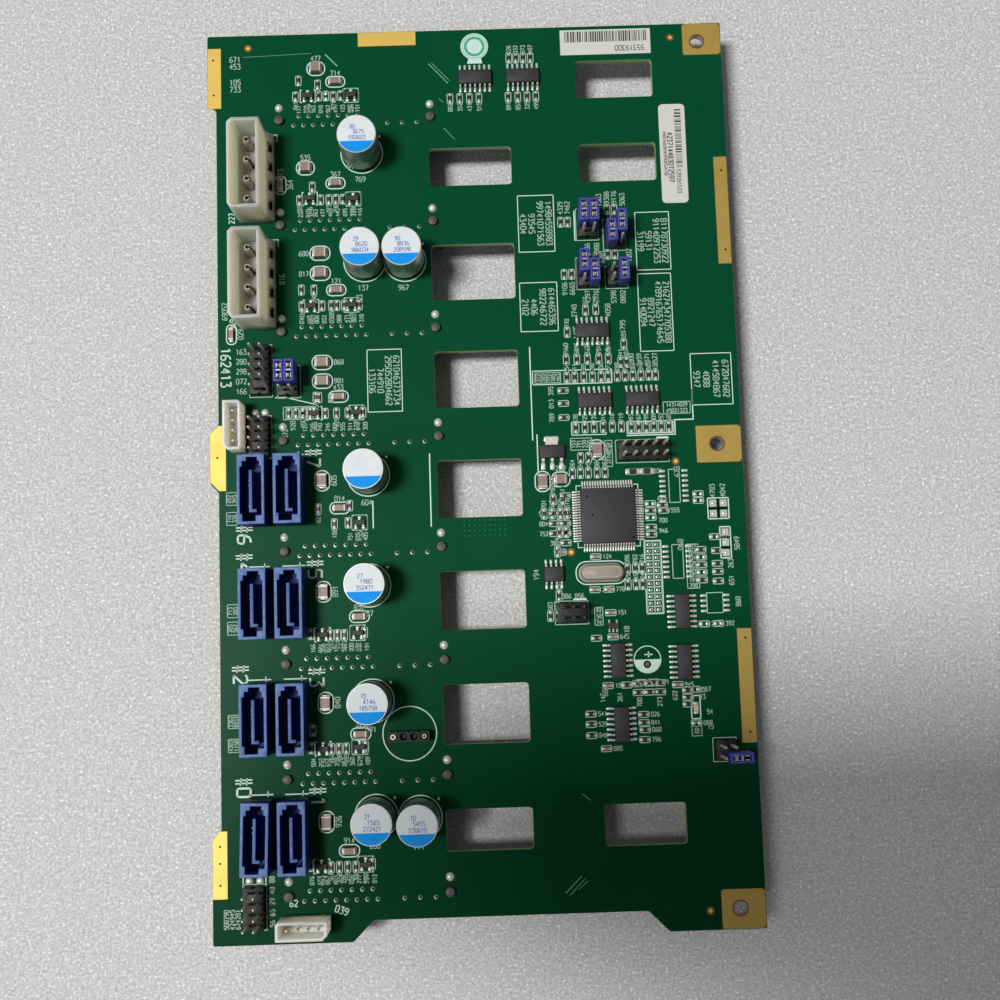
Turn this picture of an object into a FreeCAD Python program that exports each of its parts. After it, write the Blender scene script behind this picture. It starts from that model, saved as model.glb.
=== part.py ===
"""Eight-bay drive backplane board, component side up.

A glass-epoxy board stands on the eight drive receptacles soldered to its drive side.
The component side holds eight upright data ports, two four-pin power headers, eight
solid capacitors, pin headers with jumper shunts, and the control circuit.
Each sub-part is written to parts/NODE.step. All sizes are in millimetres.
"""
import FreeCAD, Part
import math
import os

Vector = FreeCAD.Vector

# ---------------------------------------------------------------- driving dimensions
BAY_COUNT = 8
BAY_PITCH = 27.9                # one drive bay to the next
TOP_MARGIN = 23.5               # board's top edge to the first bay's row
BOTTOM_MARGIN = 11.2            # board's bottom edge to the last bay's row
BOARD_WIDTH = 134.0
BOARD_THICKNESS = 2.0
TAB_DEPTH = 2.2                 # locating tabs stand this far out of the left edge
TAB_CHAMFER = 2.4
TOP_TAB_LENGTH = 17.9
MIDDLE_TAB_LENGTH = 12.2
BOTTOM_TAB_LENGTH = 24.9
NOTCH_DEPTH = 5.0               # relief along the bottom edge, with 45 degree ends
NOTCH_FROM_LEFT = 33.9
NOTCH_FROM_RIGHT = 23.6
SCREW_HOLE_DIAMETER = 3.6
SCREW_HOLE_INSET = 6.3          # from the right edge
SCREW_HOLE_END = 5.0            # from the top and bottom edges
CORNER_CUT = 0.6                # left by the cutter in the air openings' corners
SMALL_SIDES = 8                 # flats on each small peg, tail and bore

AIR_OPENING_WIDTH = 21.2
AIR_OPENING_LEFT = 57.0         # left edge of the middle column
AIR_OPENING_TALL = 14.5
AIR_OPENING_SHORT = 10.0
SIDE_OPENING_WIDTH = 19.9
SIDE_OPENING_RIGHT = 18.4       # right edge of the side column, from the board's right edge

RECEPTACLE_LENGTH = 43.0        # drive receptacle, on the drive side
RECEPTACLE_WIDTH = 6.8
RECEPTACLE_HEIGHT = 10.5
RECEPTACLE_BASE = 3.6
RECEPTACLE_CENTRE = 38.05       # from the left edge
TOWER_WALL = 1.5                # round the receptacle's slot
SLOT_WIDTH = 1.5
SLOT_DEPTH = 7.2
SLOT_KEY = 1.3                  # feet of the slot's key shape
GUIDE_ARM = 1.9
GUIDE_TIP_CHAMFER = 0.9
PEG_DIAMETER = 2.2
PEG_SPACING = 39.1
PEG_STAND_OUT = 1.1             # above the component side
PEG_CLEARANCE = 0.05
LOCK_WIDTH = 1.7                # flat metal locks that hold the receptacle down
LOCK_THICKNESS = 0.6
LOCK_OFFSET = 3.5
LOCK_STAND_OUT = 0.5
LOCK_SEAT = 2.0
CONTACT_PITCH = 1.27
POWER_CONTACTS = 15
SIGNAL_CONTACTS = 7
POWER_GROUP_CENTRE = -6.9       # along the receptacle
SIGNAL_GROUP_CENTRE = 12.25
BLADE_WIDTH = 0.5
BLADE_BULGE = 0.5
BLADE_SET_BACK = 1.0            # from the slot's mouth

PORT_LENGTH = 17.2              # upright seven-pin data port
PORT_WIDTH = 6.7
PORT_HEIGHT = 8.5
PORT_WALL = 0.7
PORT_FLOOR = 1.6
PORT_TONGUE = 0.8
PORT_TONGUE_LENGTH = 10.5
PORT_TONGUE_FOOT = 1.9
PORT_TONGUE_DROP = 1.1          # below the rim
PORT_LEFT = 11.8
PORT_GAP = 2.1                  # between two ports of a pair
PORT_ABOVE_BAY = 15.0
PORT_CONTACT = 0.3
PORT_CONTACT_WIDTH = 0.7
PORT_STEP = 0.6                 # the keyed mouth narrows at both ends in steps
PORT_FOOT_LENGTH = 1.85
PORT_KEY_WIDTH = 1.45
PORT_KEY_LENGTH = 1.35
PORT_HEAD_LENGTH = 2.3
PORT_HEAD_STEP = 1.0
PORT_TONGUE_LEFT = -0.6         # from the middle of the port
PORT_TONGUE_SHIFT = -0.4
PORT_SKEW = {0: -1.5}           # degrees that a port stands askew on the board
FIRST_PORT_BAY = 4

POWER_LENGTH = 23.0             # four-pin power header
POWER_WIDTH = 8.0
POWER_HEIGHT = 12.7
POWER_WALL = 0.85
POWER_FLOOR = 3.0
POWER_KEY_CHAMFER = 1.1
POWER_PITCH = 5.08
POWER_PINS = 4
POWER_PIN_DIAMETER = 2.1
POWER_PIN_HEIGHT = 8.2
POWER_PIN_TAPER = 1.1
POWER_TIP_DIAMETER = 0.9
POWER_TAIL_DIAMETER = 1.6
POWER_TAIL_CLEARANCE = 0.05
POWER_TAIL_LENGTH = 1.5         # below the board
POWER_RAIL = 1.75               # ribbed rail beside the shell
POWER_RAIL_LENGTH = 22.6
POWER_RAIL_TOP = 4.4
POWER_RAIL_EDGE = 1.9
POWER_POCKET_WIDTH = 1.05
POWER_POCKET_LENGTH = 2.8
POWER_LEFT = 11.5
POWER_ABOVE_BAY = 12.3

CAN_DIAMETER = 10.0             # solid capacitor
CAN_HEIGHT = 12.3
CAN_EDGE_CUT = 0.6
CAN_SIDES = 24
CAN_CRIMP_DEPTH = 0.35
CAN_CRIMP_HEIGHT = 1.5
SEAL_THICKNESS = 0.3
SEAL_DIAMETER = 8.6

HEADER_PITCH = 2.54             # pin headers
HEADER_BASE = 2.5
HEADER_NOTCH = 0.45
HEADER_PIN = 0.64
HEADER_PIN_TOP = 9.0
SHUNT_WIDTH = 2.4
SHUNT_LENGTH = 5.6
SHUNT_HEIGHT = 6.2
SHUNT_WELL_WIDTH = 1.5
SHUNT_WELL_LENGTH = 1.9

SERVICE_PITCH = 2.5             # small shrouded header
SERVICE_PINS = 4
SERVICE_END = 2.45
SERVICE_WIDTH = 4.5
SERVICE_HEIGHT = 7.0
SERVICE_WALL = 0.7
SERVICE_FLOOR = 1.5
SERVICE_CHAMFER = 1.2
SERVICE_PIN_TOP = 5.8

SOCKET_PINS = 4
SOCKET_HEIGHT = 3.0
SOCKET_BORE = 1.5
SOCKET_BORE_DEPTH = 2.2

CONTROLLER_SIZE = 14.0          # flat pack with leads on four sides
CONTROLLER_HEIGHT = 1.5
CONTROLLER_LEADS = 20
CONTROLLER_LEAD_PITCH = 0.65
CONTROLLER_LEAD_REACH = 1.3
LOGIC_LENGTH = 8.7              # dual row packages
LOGIC_WIDTH = 3.9
LOGIC_HEIGHT = 1.5
MEMORY_LENGTH = 5.0
MEMORY_LEADS = 4
LOGIC_LEAD_PITCH = 1.27
LOGIC_LEAD_REACH = 1.15
LEAD_THICKNESS = 0.2
LEAD_WIDTH = 0.42
CONTROLLER_LEAD_WIDTH = 0.32
BODY_STAND_OFF = 0.1
PACKAGE_BEVEL = 0.2
CRYSTAL_LENGTH = 11.4
CRYSTAL_WIDTH = 4.7
CRYSTAL_HEIGHT = 3.6
CRYSTAL_FLANGE = 0.5
CRYSTAL_RIM = 0.5
CRYSTAL_ROUND = 0.49            # end radius as a share of the can's width
REGULATOR_LENGTH = 6.5
REGULATOR_WIDTH = 3.5
REGULATOR_HEIGHT = 1.6
REGULATOR_TAB_WIDTH = 3.2
REGULATOR_TAB_REACH = 1.9
REGULATOR_LEAD_PITCH = 2.3
REGULATOR_LEAD_WIDTH = 0.75
REGULATOR_LEADS = 3
REGULATOR_TAB_THICKNESS = 0.3
TRANSISTOR_SIZE = (2.9, 1.4, 1.0)
LAMP_SIZE = (1.2, 2.0, 0.8)
LABEL_THICKNESS = 0.1
BARCODE_LABEL_LENGTH = 23.6
BARCODE_LABEL_WIDTH = 6.8
BARCODE_LABEL_INSET = 4.4       # its middle from the top edge
SIDE_LABEL_WIDTH = 6.8
SIDE_LABEL_LENGTH = 26.5
SIDE_LABEL_CORNER = 1.2
STICKER_DIAMETER = 7.2
STICKER_TAB_WIDTH = 4.0
STICKER_TAB_REACH = 4.7         # from the sticker's middle

# ---------------------------------------------------------------- levels and places
BOARD_LENGTH = TOP_MARGIN + (BAY_COUNT - 1) * BAY_PITCH + BOTTOM_MARGIN
BOARD_BOTTOM = RECEPTACLE_HEIGHT
BOARD_TOP = BOARD_BOTTOM + BOARD_THICKNESS


def from_left(distance):
    return distance - BOARD_WIDTH / 2


def from_right(distance):
    return BOARD_WIDTH / 2 - distance


def from_top(distance):
    return BOARD_LENGTH / 2 - distance


def from_bottom(distance):
    return distance - BOARD_LENGTH / 2


def bay_row(bay, above=0.0):
    """Height along the board of a bay's row of pegs, or a distance above that row."""
    return from_top(TOP_MARGIN + bay * BAY_PITCH) + above


# ---------------------------------------------------------------- simple solids
def box(x, y, z, length, width, height):
    """A block centred on x and y that stands on z."""
    return Part.makeBox(length, width, height, Vector(x - length / 2, y - width / 2, z))


def prism(outline, z, height):
    """A closed outline of (x, y) corners at z, raised by height."""
    corners = [Vector(x, y, z) for x, y in outline]
    face = Part.Face(Part.makePolygon(corners + corners[:1]))
    return face.extrude(Vector(0, 0, height))


def disc(x, y, z, diameter, height):
    return Part.makeCylinder(diameter / 2, height, Vector(x, y, z))


def peg(x, y, z, diameter, height):
    """A small round post or bore with a few flats."""
    return placed(prism(ring_of(diameter, SMALL_SIDES), 0, height), x, y, z)


def side_profile(profile, length):
    """A closed outline of (y, z) corners, stretched along X and centred on it."""
    corners = [Vector(-length / 2, y, z) for y, z in profile]
    face = Part.Face(Part.makePolygon(corners + corners[:1]))
    return face.extrude(Vector(length, 0, 0))


def front_profile(profile, width):
    """A closed outline of (x, z) corners, stretched along Y and centred on it."""
    corners = [Vector(x, -width / 2, z) for x, z in profile]
    face = Part.Face(Part.makePolygon(corners + corners[:1]))
    return face.extrude(Vector(0, width, 0))


def ring_of(diameter, sides):
    """Corners of a regular outline whose flats lie the given diameter apart."""
    radius = diameter / 2 / math.cos(math.pi / sides)
    turns = [(2 * step + 1) * math.pi / sides for step in range(sides)]
    return [(radius * math.cos(turn), radius * math.sin(turn)) for turn in turns]


def turned(profile, sides):
    """A turned solid with flats, from the (radius, z) corners of its side, lowest first."""
    rings = [[Vector(x, y, z) for x, y in ring_of(2 * radius, sides)] for radius, z in profile]
    outlines = [rings[0], rings[-1]]
    for lower, upper in zip(rings, rings[1:]):
        for step in range(sides):
            after = (step + 1) % sides
            outlines.append([lower[step], lower[after], upper[after], upper[step]])
    faces = [Part.Face(Part.makePolygon(corners + corners[:1])) for corners in outlines]
    solid = Part.Solid(Part.Shell(faces))
    if solid.Volume < 0:
        solid.reverse()
    return solid


def upright_edges(shape):
    return [edge for edge in shape.Edges if abs(edge.tangentAt(edge.FirstParameter).z) > 0.9]


def rounded_block(x, y, z, length, width, height, radius):
    block = box(x, y, z, length, width, height)
    return block.makeFillet(radius, upright_edges(block))


def clipped_block(x, y, z, length, width, height, cut):
    block = box(x, y, z, length, width, height)
    return block.makeChamfer(cut, upright_edges(block))


def placed(shape, x, y, z, turn=0.0):
    """A copy turned about Z by degrees and then moved to x, y, z."""
    copy = shape.copy()
    copy.rotate(Vector(0, 0, 0), Vector(0, 0, 1), turn)
    copy.translate(Vector(x, y, z))
    return copy


def spread(count, pitch):
    """Places of count items at a pitch, centred on zero."""
    return [(index - (count - 1) / 2) * pitch for index in range(count)]


def export(node, solids):
    solids = [solid for shape in solids for solid in shape.Solids]
    shape = solids[0] if len(solids) == 1 else Part.makeCompound(solids)
    shape.exportStep("parts/" + node + ".step")


# ---------------------------------------------------------------- circuit board
PEG_PLACES = [(side * PEG_SPACING / 2, 0.0) for side in (-1, 1)]
LOCK_PLACES = [(side * PEG_SPACING / 2, LOCK_OFFSET) for side in (-1, 1)]
POWER_PLACES = [(from_left(POWER_LEFT), bay_row(bay, POWER_ABOVE_BAY)) for bay in (1, 2)]
MIDDLE_TAB_CENTRE = bay_row(3, -4.2)
MIDDLE_SCREW = bay_row(3, -4.0)
OPENING_ABOVE_BAY = 14.4


def board_outline():
    tab = from_left(0)
    edge = from_left(TAB_DEPTH)
    bottom, top, right = from_bottom(0), from_top(0), from_right(0)
    middle_low = MIDDLE_TAB_CENTRE - MIDDLE_TAB_LENGTH / 2
    middle_high = MIDDLE_TAB_CENTRE + MIDDLE_TAB_LENGTH / 2
    notch_left, notch_right = from_left(NOTCH_FROM_LEFT), from_right(NOTCH_FROM_RIGHT)
    return [
        (tab, bottom),
        (tab, bottom + BOTTOM_TAB_LENGTH),
        (edge, bottom + BOTTOM_TAB_LENGTH + TAB_CHAMFER),
        (edge, middle_low - TAB_CHAMFER),
        (tab, middle_low),
        (tab, middle_high),
        (edge, middle_high + TAB_CHAMFER),
        (edge, top - TOP_TAB_LENGTH - TAB_CHAMFER),
        (tab, top - TOP_TAB_LENGTH),
        (tab, top),
        (right, top),
        (right, bottom),
        (notch_right, bottom),
        (notch_right - NOTCH_DEPTH, bottom + NOTCH_DEPTH),
        (notch_left + NOTCH_DEPTH, bottom + NOTCH_DEPTH),
        (notch_left, bottom),
    ]


def air_openings():
    """Each opening's centre and size: x, y, length along X, width along Y."""
    middle = from_left(AIR_OPENING_LEFT + AIR_OPENING_WIDTH / 2)
    side = from_right(SIDE_OPENING_RIGHT + SIDE_OPENING_WIDTH / 2)
    openings = []
    for bay in range(1, BAY_COUNT):
        tall = AIR_OPENING_SHORT if bay in (1, BAY_COUNT - 1) else AIR_OPENING_TALL
        openings.append((middle, bay_row(bay, OPENING_ABOVE_BAY), AIR_OPENING_WIDTH, tall))
    for centre in (bay_row(0, 9.0), bay_row(1, OPENING_ABOVE_BAY), bay_row(7, OPENING_ABOVE_BAY)):
        openings.append((side, centre, SIDE_OPENING_WIDTH, AIR_OPENING_SHORT))
    return openings


def circuit_board():
    board = prism(board_outline(), BOARD_BOTTOM, BOARD_THICKNESS)
    cuts = [clipped_block(x, y, BOARD_BOTTOM, length, width, BOARD_THICKNESS, CORNER_CUT)
            for x, y, length, width in air_openings()]
    for y in (from_top(SCREW_HOLE_END), MIDDLE_SCREW, from_bottom(SCREW_HOLE_END)):
        cuts.append(disc(from_right(SCREW_HOLE_INSET), y, BOARD_BOTTOM, SCREW_HOLE_DIAMETER, BOARD_THICKNESS))
    for bay in range(BAY_COUNT):
        for x, y in PEG_PLACES:
            cuts.append(peg(from_left(RECEPTACLE_CENTRE) + x, bay_row(bay, y), BOARD_BOTTOM,
                            PEG_DIAMETER + 2 * PEG_CLEARANCE, BOARD_THICKNESS))
        for x, y in LOCK_PLACES:
            cuts.append(box(from_left(RECEPTACLE_CENTRE) + x, bay_row(bay, y), BOARD_BOTTOM,
                            LOCK_THICKNESS, LOCK_WIDTH, BOARD_THICKNESS))
    for x, y in POWER_PLACES:
        for step in spread(POWER_PINS, POWER_PITCH):
            cuts.append(peg(x, y + step, BOARD_BOTTOM,
                            POWER_TAIL_DIAMETER + 2 * POWER_TAIL_CLEARANCE, BOARD_THICKNESS))
    return board.cut(Part.makeCompound(cuts))


# ---------------------------------------------------------------- drive receptacles
TOWER_HEIGHT = RECEPTACLE_HEIGHT - RECEPTACLE_BASE


def slot_ends():
    """Left and right ends of the slot, a pitch past the outer contacts."""
    left = POWER_GROUP_CENTRE - POWER_CONTACTS * CONTACT_PITCH / 2 - SLOT_KEY
    right = SIGNAL_GROUP_CENTRE + SIGNAL_CONTACTS * CONTACT_PITCH / 2 + SLOT_KEY
    return left, right


def drive_receptacle():
    """Moulding of one drive receptacle: base, slotted tower, guide arms, ears and pegs."""
    left, right = slot_ends()
    middle = (left + right) / 2
    body = box(0, 0, TOWER_HEIGHT, RECEPTACLE_LENGTH, RECEPTACLE_WIDTH, RECEPTACLE_BASE)
    tower_width = SLOT_WIDTH + 2 * SLOT_KEY + TOWER_WALL
    pieces = [box(middle, 0, 0, right - left + 2 * TOWER_WALL, tower_width, TOWER_HEIGHT)]
    ear_length = RECEPTACLE_LENGTH - PEG_SPACING
    ear_top = LOCK_OFFSET + LOCK_WIDTH
    for side in (-1, 1):
        end = side * RECEPTACLE_LENGTH / 2
        tip = GUIDE_ARM - GUIDE_TIP_CHAMFER
        arm = [(end, 0), (end - side * tip, 0), (end - side * GUIDE_ARM, GUIDE_TIP_CHAMFER),
               (end - side * GUIDE_ARM, TOWER_HEIGHT), (end, TOWER_HEIGHT)]
        pieces.append(front_profile(arm, RECEPTACLE_WIDTH))
        pieces.append(box(end - side * ear_length / 2, ear_top / 2, TOWER_HEIGHT,
                          ear_length, ear_top, RECEPTACLE_BASE))
    peg_height = BOARD_THICKNESS + PEG_STAND_OUT
    pieces += [peg(x, y, RECEPTACLE_HEIGHT, PEG_DIAMETER, peg_height) for x, y in PEG_PLACES]
    body = body.fuse(pieces).removeSplitter()
    cuts = [box(middle, 0, 0, right - left, SLOT_WIDTH, SLOT_DEPTH)]
    for x in (left + SLOT_KEY / 2, right - SLOT_KEY / 2):
        cuts.append(box(x, (SLOT_WIDTH + SLOT_KEY) / 2, 0, SLOT_KEY, SLOT_KEY, SLOT_DEPTH))
    return body.cut(cuts + board_locks())


def receptacle_contacts():
    """Spring blades along one wall of the slot, bulged near its mouth: power group, signal group."""
    wall = -SLOT_WIDTH / 2
    profile = [(wall, BLADE_SET_BACK), (wall + BLADE_BULGE, 2 * BLADE_SET_BACK), (wall, SLOT_DEPTH)]
    blade = side_profile(profile, BLADE_WIDTH)
    power = [POWER_GROUP_CENTRE + step for step in spread(POWER_CONTACTS, CONTACT_PITCH)]
    signal = [SIGNAL_GROUP_CENTRE + step for step in spread(SIGNAL_CONTACTS, CONTACT_PITCH)]
    return [placed(blade, x, 0, 0) for x in power + signal]


def board_locks():
    """Flat metal strips pressed into the ears, soldered on the component side."""
    height = LOCK_SEAT + BOARD_THICKNESS + LOCK_STAND_OUT
    return [box(x, y, RECEPTACLE_HEIGHT - LOCK_SEAT, LOCK_THICKNESS, LOCK_WIDTH, height)
            for x, y in LOCK_PLACES]


# ---------------------------------------------------------------- data ports
def port_places():
    """Port number to (x, y, turn); the even port of each bay's pair stands on the left."""
    places = {}
    for pair, bay in enumerate(range(FIRST_PORT_BAY, BAY_COUNT)):
        even = BAY_COUNT - 2 - 2 * pair
        y = bay_row(bay, PORT_ABOVE_BAY)
        for number, x in ((even, PORT_LEFT), (even + 1, PORT_LEFT + PORT_WIDTH + PORT_GAP)):
            places[number] = (from_left(x), y, PORT_SKEW.get(number, 0.0))
    return places


def port_cavity():
    """Outline of the keyed mouth, from the middle of the port."""
    right = PORT_WIDTH / 2 - PORT_WALL
    top = PORT_LENGTH / 2 - PORT_WALL
    left, bottom = -right, -top
    head = top - PORT_HEAD_LENGTH
    return [
        (left + PORT_STEP, bottom),
        (right - PORT_KEY_WIDTH, bottom),
        (right - PORT_KEY_WIDTH, bottom + PORT_KEY_LENGTH),
        (right, bottom + PORT_KEY_LENGTH),
        (right, head),
        (right - PORT_HEAD_STEP / 2, head),
        (right - PORT_HEAD_STEP / 2, top - PORT_HEAD_STEP),
        (right - PORT_HEAD_STEP, top - PORT_HEAD_STEP),
        (right - PORT_HEAD_STEP, top),
        (left + PORT_STEP + PORT_HEAD_STEP, top),
        (left + PORT_STEP + PORT_HEAD_STEP, top - PORT_HEAD_STEP),
        (left + PORT_STEP, top - PORT_HEAD_STEP),
        (left + PORT_STEP, head),
        (left, head),
        (left, bottom + PORT_FOOT_LENGTH),
        (left + PORT_STEP, bottom + PORT_FOOT_LENGTH),
    ]


TONGUE_LOW = PORT_TONGUE_SHIFT - PORT_TONGUE_LENGTH / 2


def port_tongue():
    """Outline of the L-shaped tongue that carries the contacts."""
    right = PORT_TONGUE_LEFT + PORT_TONGUE
    top = TONGUE_LOW + PORT_TONGUE_LENGTH
    return [
        (PORT_TONGUE_LEFT, TONGUE_LOW),
        (PORT_TONGUE_LEFT + PORT_TONGUE_FOOT, TONGUE_LOW),
        (PORT_TONGUE_LEFT + PORT_TONGUE_FOOT, TONGUE_LOW + PORT_TONGUE),
        (right, TONGUE_LOW + PORT_TONGUE),
        (right, top),
        (PORT_TONGUE_LEFT, top),
    ]


def data_port():
    shell = box(0, 0, 0, PORT_WIDTH, PORT_LENGTH, PORT_HEIGHT)
    shell = shell.cut(prism(port_cavity(), PORT_FLOOR, PORT_HEIGHT - PORT_FLOOR))
    tongue_height = PORT_HEIGHT - PORT_TONGUE_DROP - PORT_FLOOR
    return shell.fuse(prism(port_tongue(), PORT_FLOOR, tongue_height)).removeSplitter()


def port_contacts():
    """Contacts along the tongue's left face, a step lower than its top."""
    height = PORT_HEIGHT - PORT_TONGUE_DROP - PORT_FLOOR - PORT_TONGUE / 2
    middle = TONGUE_LOW + (PORT_TONGUE_LENGTH + PORT_TONGUE) / 2
    return [box(PORT_TONGUE_LEFT - PORT_CONTACT / 2, middle + step, PORT_FLOOR,
                PORT_CONTACT, PORT_CONTACT_WIDTH, height)
            for step in spread(SIGNAL_CONTACTS, CONTACT_PITCH)]


# ---------------------------------------------------------------- power headers
def chamfered(half_width, half_length, chamfer):
    """Rectangle whose two corners on the left side are cut off."""
    return [
        (half_width, -half_length),
        (half_width, half_length),
        (-half_width + chamfer, half_length),
        (-half_width, half_length - chamfer),
        (-half_width, -half_length + chamfer),
        (-half_width + chamfer, -half_length),
    ]


def power_rail():
    """Low rail along the shell's right side; its pockets leave sloping ribs between them."""
    inner = POWER_WIDTH / 2
    outer = inner + POWER_RAIL
    profile = [(inner, 0), (outer, 0), (outer, POWER_RAIL_EDGE), (inner, POWER_RAIL_TOP)]
    rail = front_profile(profile, POWER_RAIL_LENGTH)
    pocket_x = inner + POWER_RAIL / 2
    pockets = [box(pocket_x, step, 0, POWER_POCKET_WIDTH, POWER_POCKET_LENGTH, POWER_RAIL_TOP)
               for step in spread(POWER_PINS, POWER_PITCH)]
    return rail.cut(pockets)


def power_header():
    half_width, half_length = POWER_WIDTH / 2, POWER_LENGTH / 2
    shell = prism(chamfered(half_width, half_length, POWER_KEY_CHAMFER), 0, POWER_HEIGHT)
    inside = chamfered(half_width - POWER_WALL, half_length - POWER_WALL, POWER_KEY_CHAMFER - POWER_WALL / 2)
    shell = shell.cut(prism(inside, POWER_FLOOR, POWER_HEIGHT - POWER_FLOOR))
    shell = shell.fuse(power_rail()).removeSplitter()
    return shell.cut([placed(power_pin(), 0, step, 0) for step in spread(POWER_PINS, POWER_PITCH)])


def power_pin():
    """Pin with a tapered tip and a thinner tail through the board."""
    tail, shank, tip = POWER_TAIL_DIAMETER / 2, POWER_PIN_DIAMETER / 2, POWER_TIP_DIAMETER / 2
    return turned([
        (tail, -BOARD_THICKNESS - POWER_TAIL_LENGTH),
        (tail, 0),
        (shank, 0),
        (shank, POWER_PIN_HEIGHT - POWER_PIN_TAPER),
        (tip, POWER_PIN_HEIGHT),
    ], SMALL_SIDES)


# ---------------------------------------------------------------- solid capacitors
CAN_PLACES = [
    (39.7, bay_row(1, 18.7)),
    (39.9, bay_row(2, 17.9)),
    (50.2, bay_row(2, 17.7)),
    (39.7, bay_row(4, 18.6)),
    (39.4, bay_row(5, 18.8)),
    (39.6, bay_row(6, 18.3)),
    (40.0, bay_row(7, 18.3)),
    (50.7, bay_row(7, 17.7)),
]


def capacitor_can():
    """Drawn can, crimped at its mouth and bevelled round its top."""
    radius = CAN_DIAMETER / 2
    mouth = SEAL_THICKNESS
    top = mouth + CAN_HEIGHT
    return turned([
        (radius - CAN_CRIMP_DEPTH, mouth),
        (radius, mouth + CAN_CRIMP_HEIGHT),
        (radius, top - CAN_EDGE_CUT),
        (radius - CAN_EDGE_CUT, top),
    ], CAN_SIDES)


def capacitor_seal():
    return prism(ring_of(SEAL_DIAMETER, SMALL_SIDES), 0, SEAL_THICKNESS)


# ---------------------------------------------------------------- pin headers
HEADERS = {
    "header_left_ten": (from_left(13.05), bay_row(3, 18.05), 2, 5, [(1, 0)]),
    "header_left_eight": (from_left(12.75), bay_row(3, 1.1), 2, 4, []),
    "header_corner_eight": (from_left(10.2), from_bottom(8.95), 2, 4, []),
    "header_right_ten": (from_right(25.2), bay_row(4, 22.6), 5, 2, []),
    "header_right_six": (from_left(89.5), bay_row(5, 10.5), 3, 2, []),
}
JUMPER_BLOCKS = {
    "left": (from_left(20.15), bay_row(3, 15.1), 2, 3, []),
    "upper_left": (from_right(36.85), bay_row(2, 25.9), 2, 3, []),
    "upper_right": (from_right(29.95), bay_row(2, 23.0), 2, 3, []),
    "lower_left": (from_right(37.2), bay_row(2, 13.0), 2, 3, []),
    "lower_right": (from_right(29.85), bay_row(2, 11.75), 2, 2, []),
    "low": (from_right(8.15), bay_row(6, 3.8), 2, 2, []),
}
# block, column, row of the lower pin of the pair, turn in degrees
SHUNTS = [
    ("left", 0, 1, 0.0),
    ("left", 1, 1, 0.0),
    ("upper_left", 0, 1, 0.0),
    ("upper_left", 1, 1, 0.0),
    ("upper_right", 0, 0, 4.0),
    ("upper_right", 1, 1, 0.0),
    ("lower_left", 0, 1, 0.0),
    ("lower_left", 1, 0, 0.0),
    ("lower_right", 1, 0, 0.0),
]
PARKED_SHUNT = ("low", 1, 0)


def pin_place(header, column, row):
    x, y, columns, rows, missing = header
    return x + spread(columns, HEADER_PITCH)[column], y + spread(rows, HEADER_PITCH)[row]


def header_body(columns, rows):
    """Moulding with a V notch between each two pins along all four sides."""
    half_x, half_y = columns * HEADER_PITCH / 2, rows * HEADER_PITCH / 2
    across = spread(columns - 1, HEADER_PITCH)
    along = spread(rows - 1, HEADER_PITCH)
    cut = HEADER_NOTCH
    outline = [(-half_x, -half_y)]
    for place in across:
        outline += [(place - cut, -half_y), (place, -half_y + cut), (place + cut, -half_y)]
    outline.append((half_x, -half_y))
    for place in along:
        outline += [(half_x, place - cut), (half_x - cut, place), (half_x, place + cut)]
    outline.append((half_x, half_y))
    for place in reversed(across):
        outline += [(place + cut, half_y), (place, half_y - cut), (place - cut, half_y)]
    outline.append((-half_x, half_y))
    for place in reversed(along):
        outline += [(-half_x, place + cut), (-half_x + cut, place), (-half_x, place - cut)]
    return prism(outline, 0, HEADER_BASE)


def header_solids(header):
    """The moulding in place and the pins that stand in it; an empty place is a square bore."""
    x, y, columns, rows, missing = header
    pins = []
    for column in range(columns):
        for row in range(rows):
            if (column, row) not in missing:
                pin_x, pin_y = pin_place(header, column, row)
                pins.append(box(pin_x, pin_y, BOARD_TOP + HEADER_BASE, HEADER_PIN, HEADER_PIN,
                                HEADER_PIN_TOP - HEADER_BASE))
    body = placed(header_body(columns, rows), x, y, BOARD_TOP)
    empty = [box(*pin_place(header, *place), BOARD_TOP, HEADER_PIN, HEADER_PIN, HEADER_BASE)
             for place in missing]
    return (body.cut(empty) if empty else body), pins


def shunt():
    """Two-pin shunt with a well for each pin, open at both ends."""
    body = box(0, 0, 0, SHUNT_WIDTH, SHUNT_LENGTH, SHUNT_HEIGHT)
    wells = [box(0, step, 0, SHUNT_WELL_WIDTH, SHUNT_WELL_LENGTH, SHUNT_HEIGHT)
             for step in spread(2, HEADER_PITCH)]
    return body.cut(wells)


def shunt_solids():
    level = BOARD_TOP + HEADER_BASE
    solids = []
    for block, column, row, turn in SHUNTS:
        x, y = pin_place(JUMPER_BLOCKS[block], column, row)
        solids.append(placed(shunt(), x, y + HEADER_PITCH / 2, level, turn))
    block, column, row = PARKED_SHUNT
    x, y = pin_place(JUMPER_BLOCKS[block], column, row)
    solids.append(placed(shunt(), x + HEADER_PITCH / 2, y, level, 90))
    return solids


# ---------------------------------------------------------------- small shrouded headers
SERVICE_LENGTH = (SERVICE_PINS - 1) * SERVICE_PITCH + 2 * SERVICE_END
SERVICE_PLACES = {
    "service_header_front": (from_left(22.4), from_bottom(4.45), 0),
    "service_header_side": (from_left(6.95), bay_row(3, 3.4), -90),
}


def keyed(half_length, half_width, chamfer):
    """Rectangle with its lower right corner cut off and a smaller cut at the upper left."""
    return [
        (-half_length, -half_width),
        (half_length - chamfer, -half_width),
        (half_length, -half_width + chamfer),
        (half_length, half_width),
        (-half_length + chamfer / 2, half_width),
        (-half_length, half_width - chamfer / 2),
    ]


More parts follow.
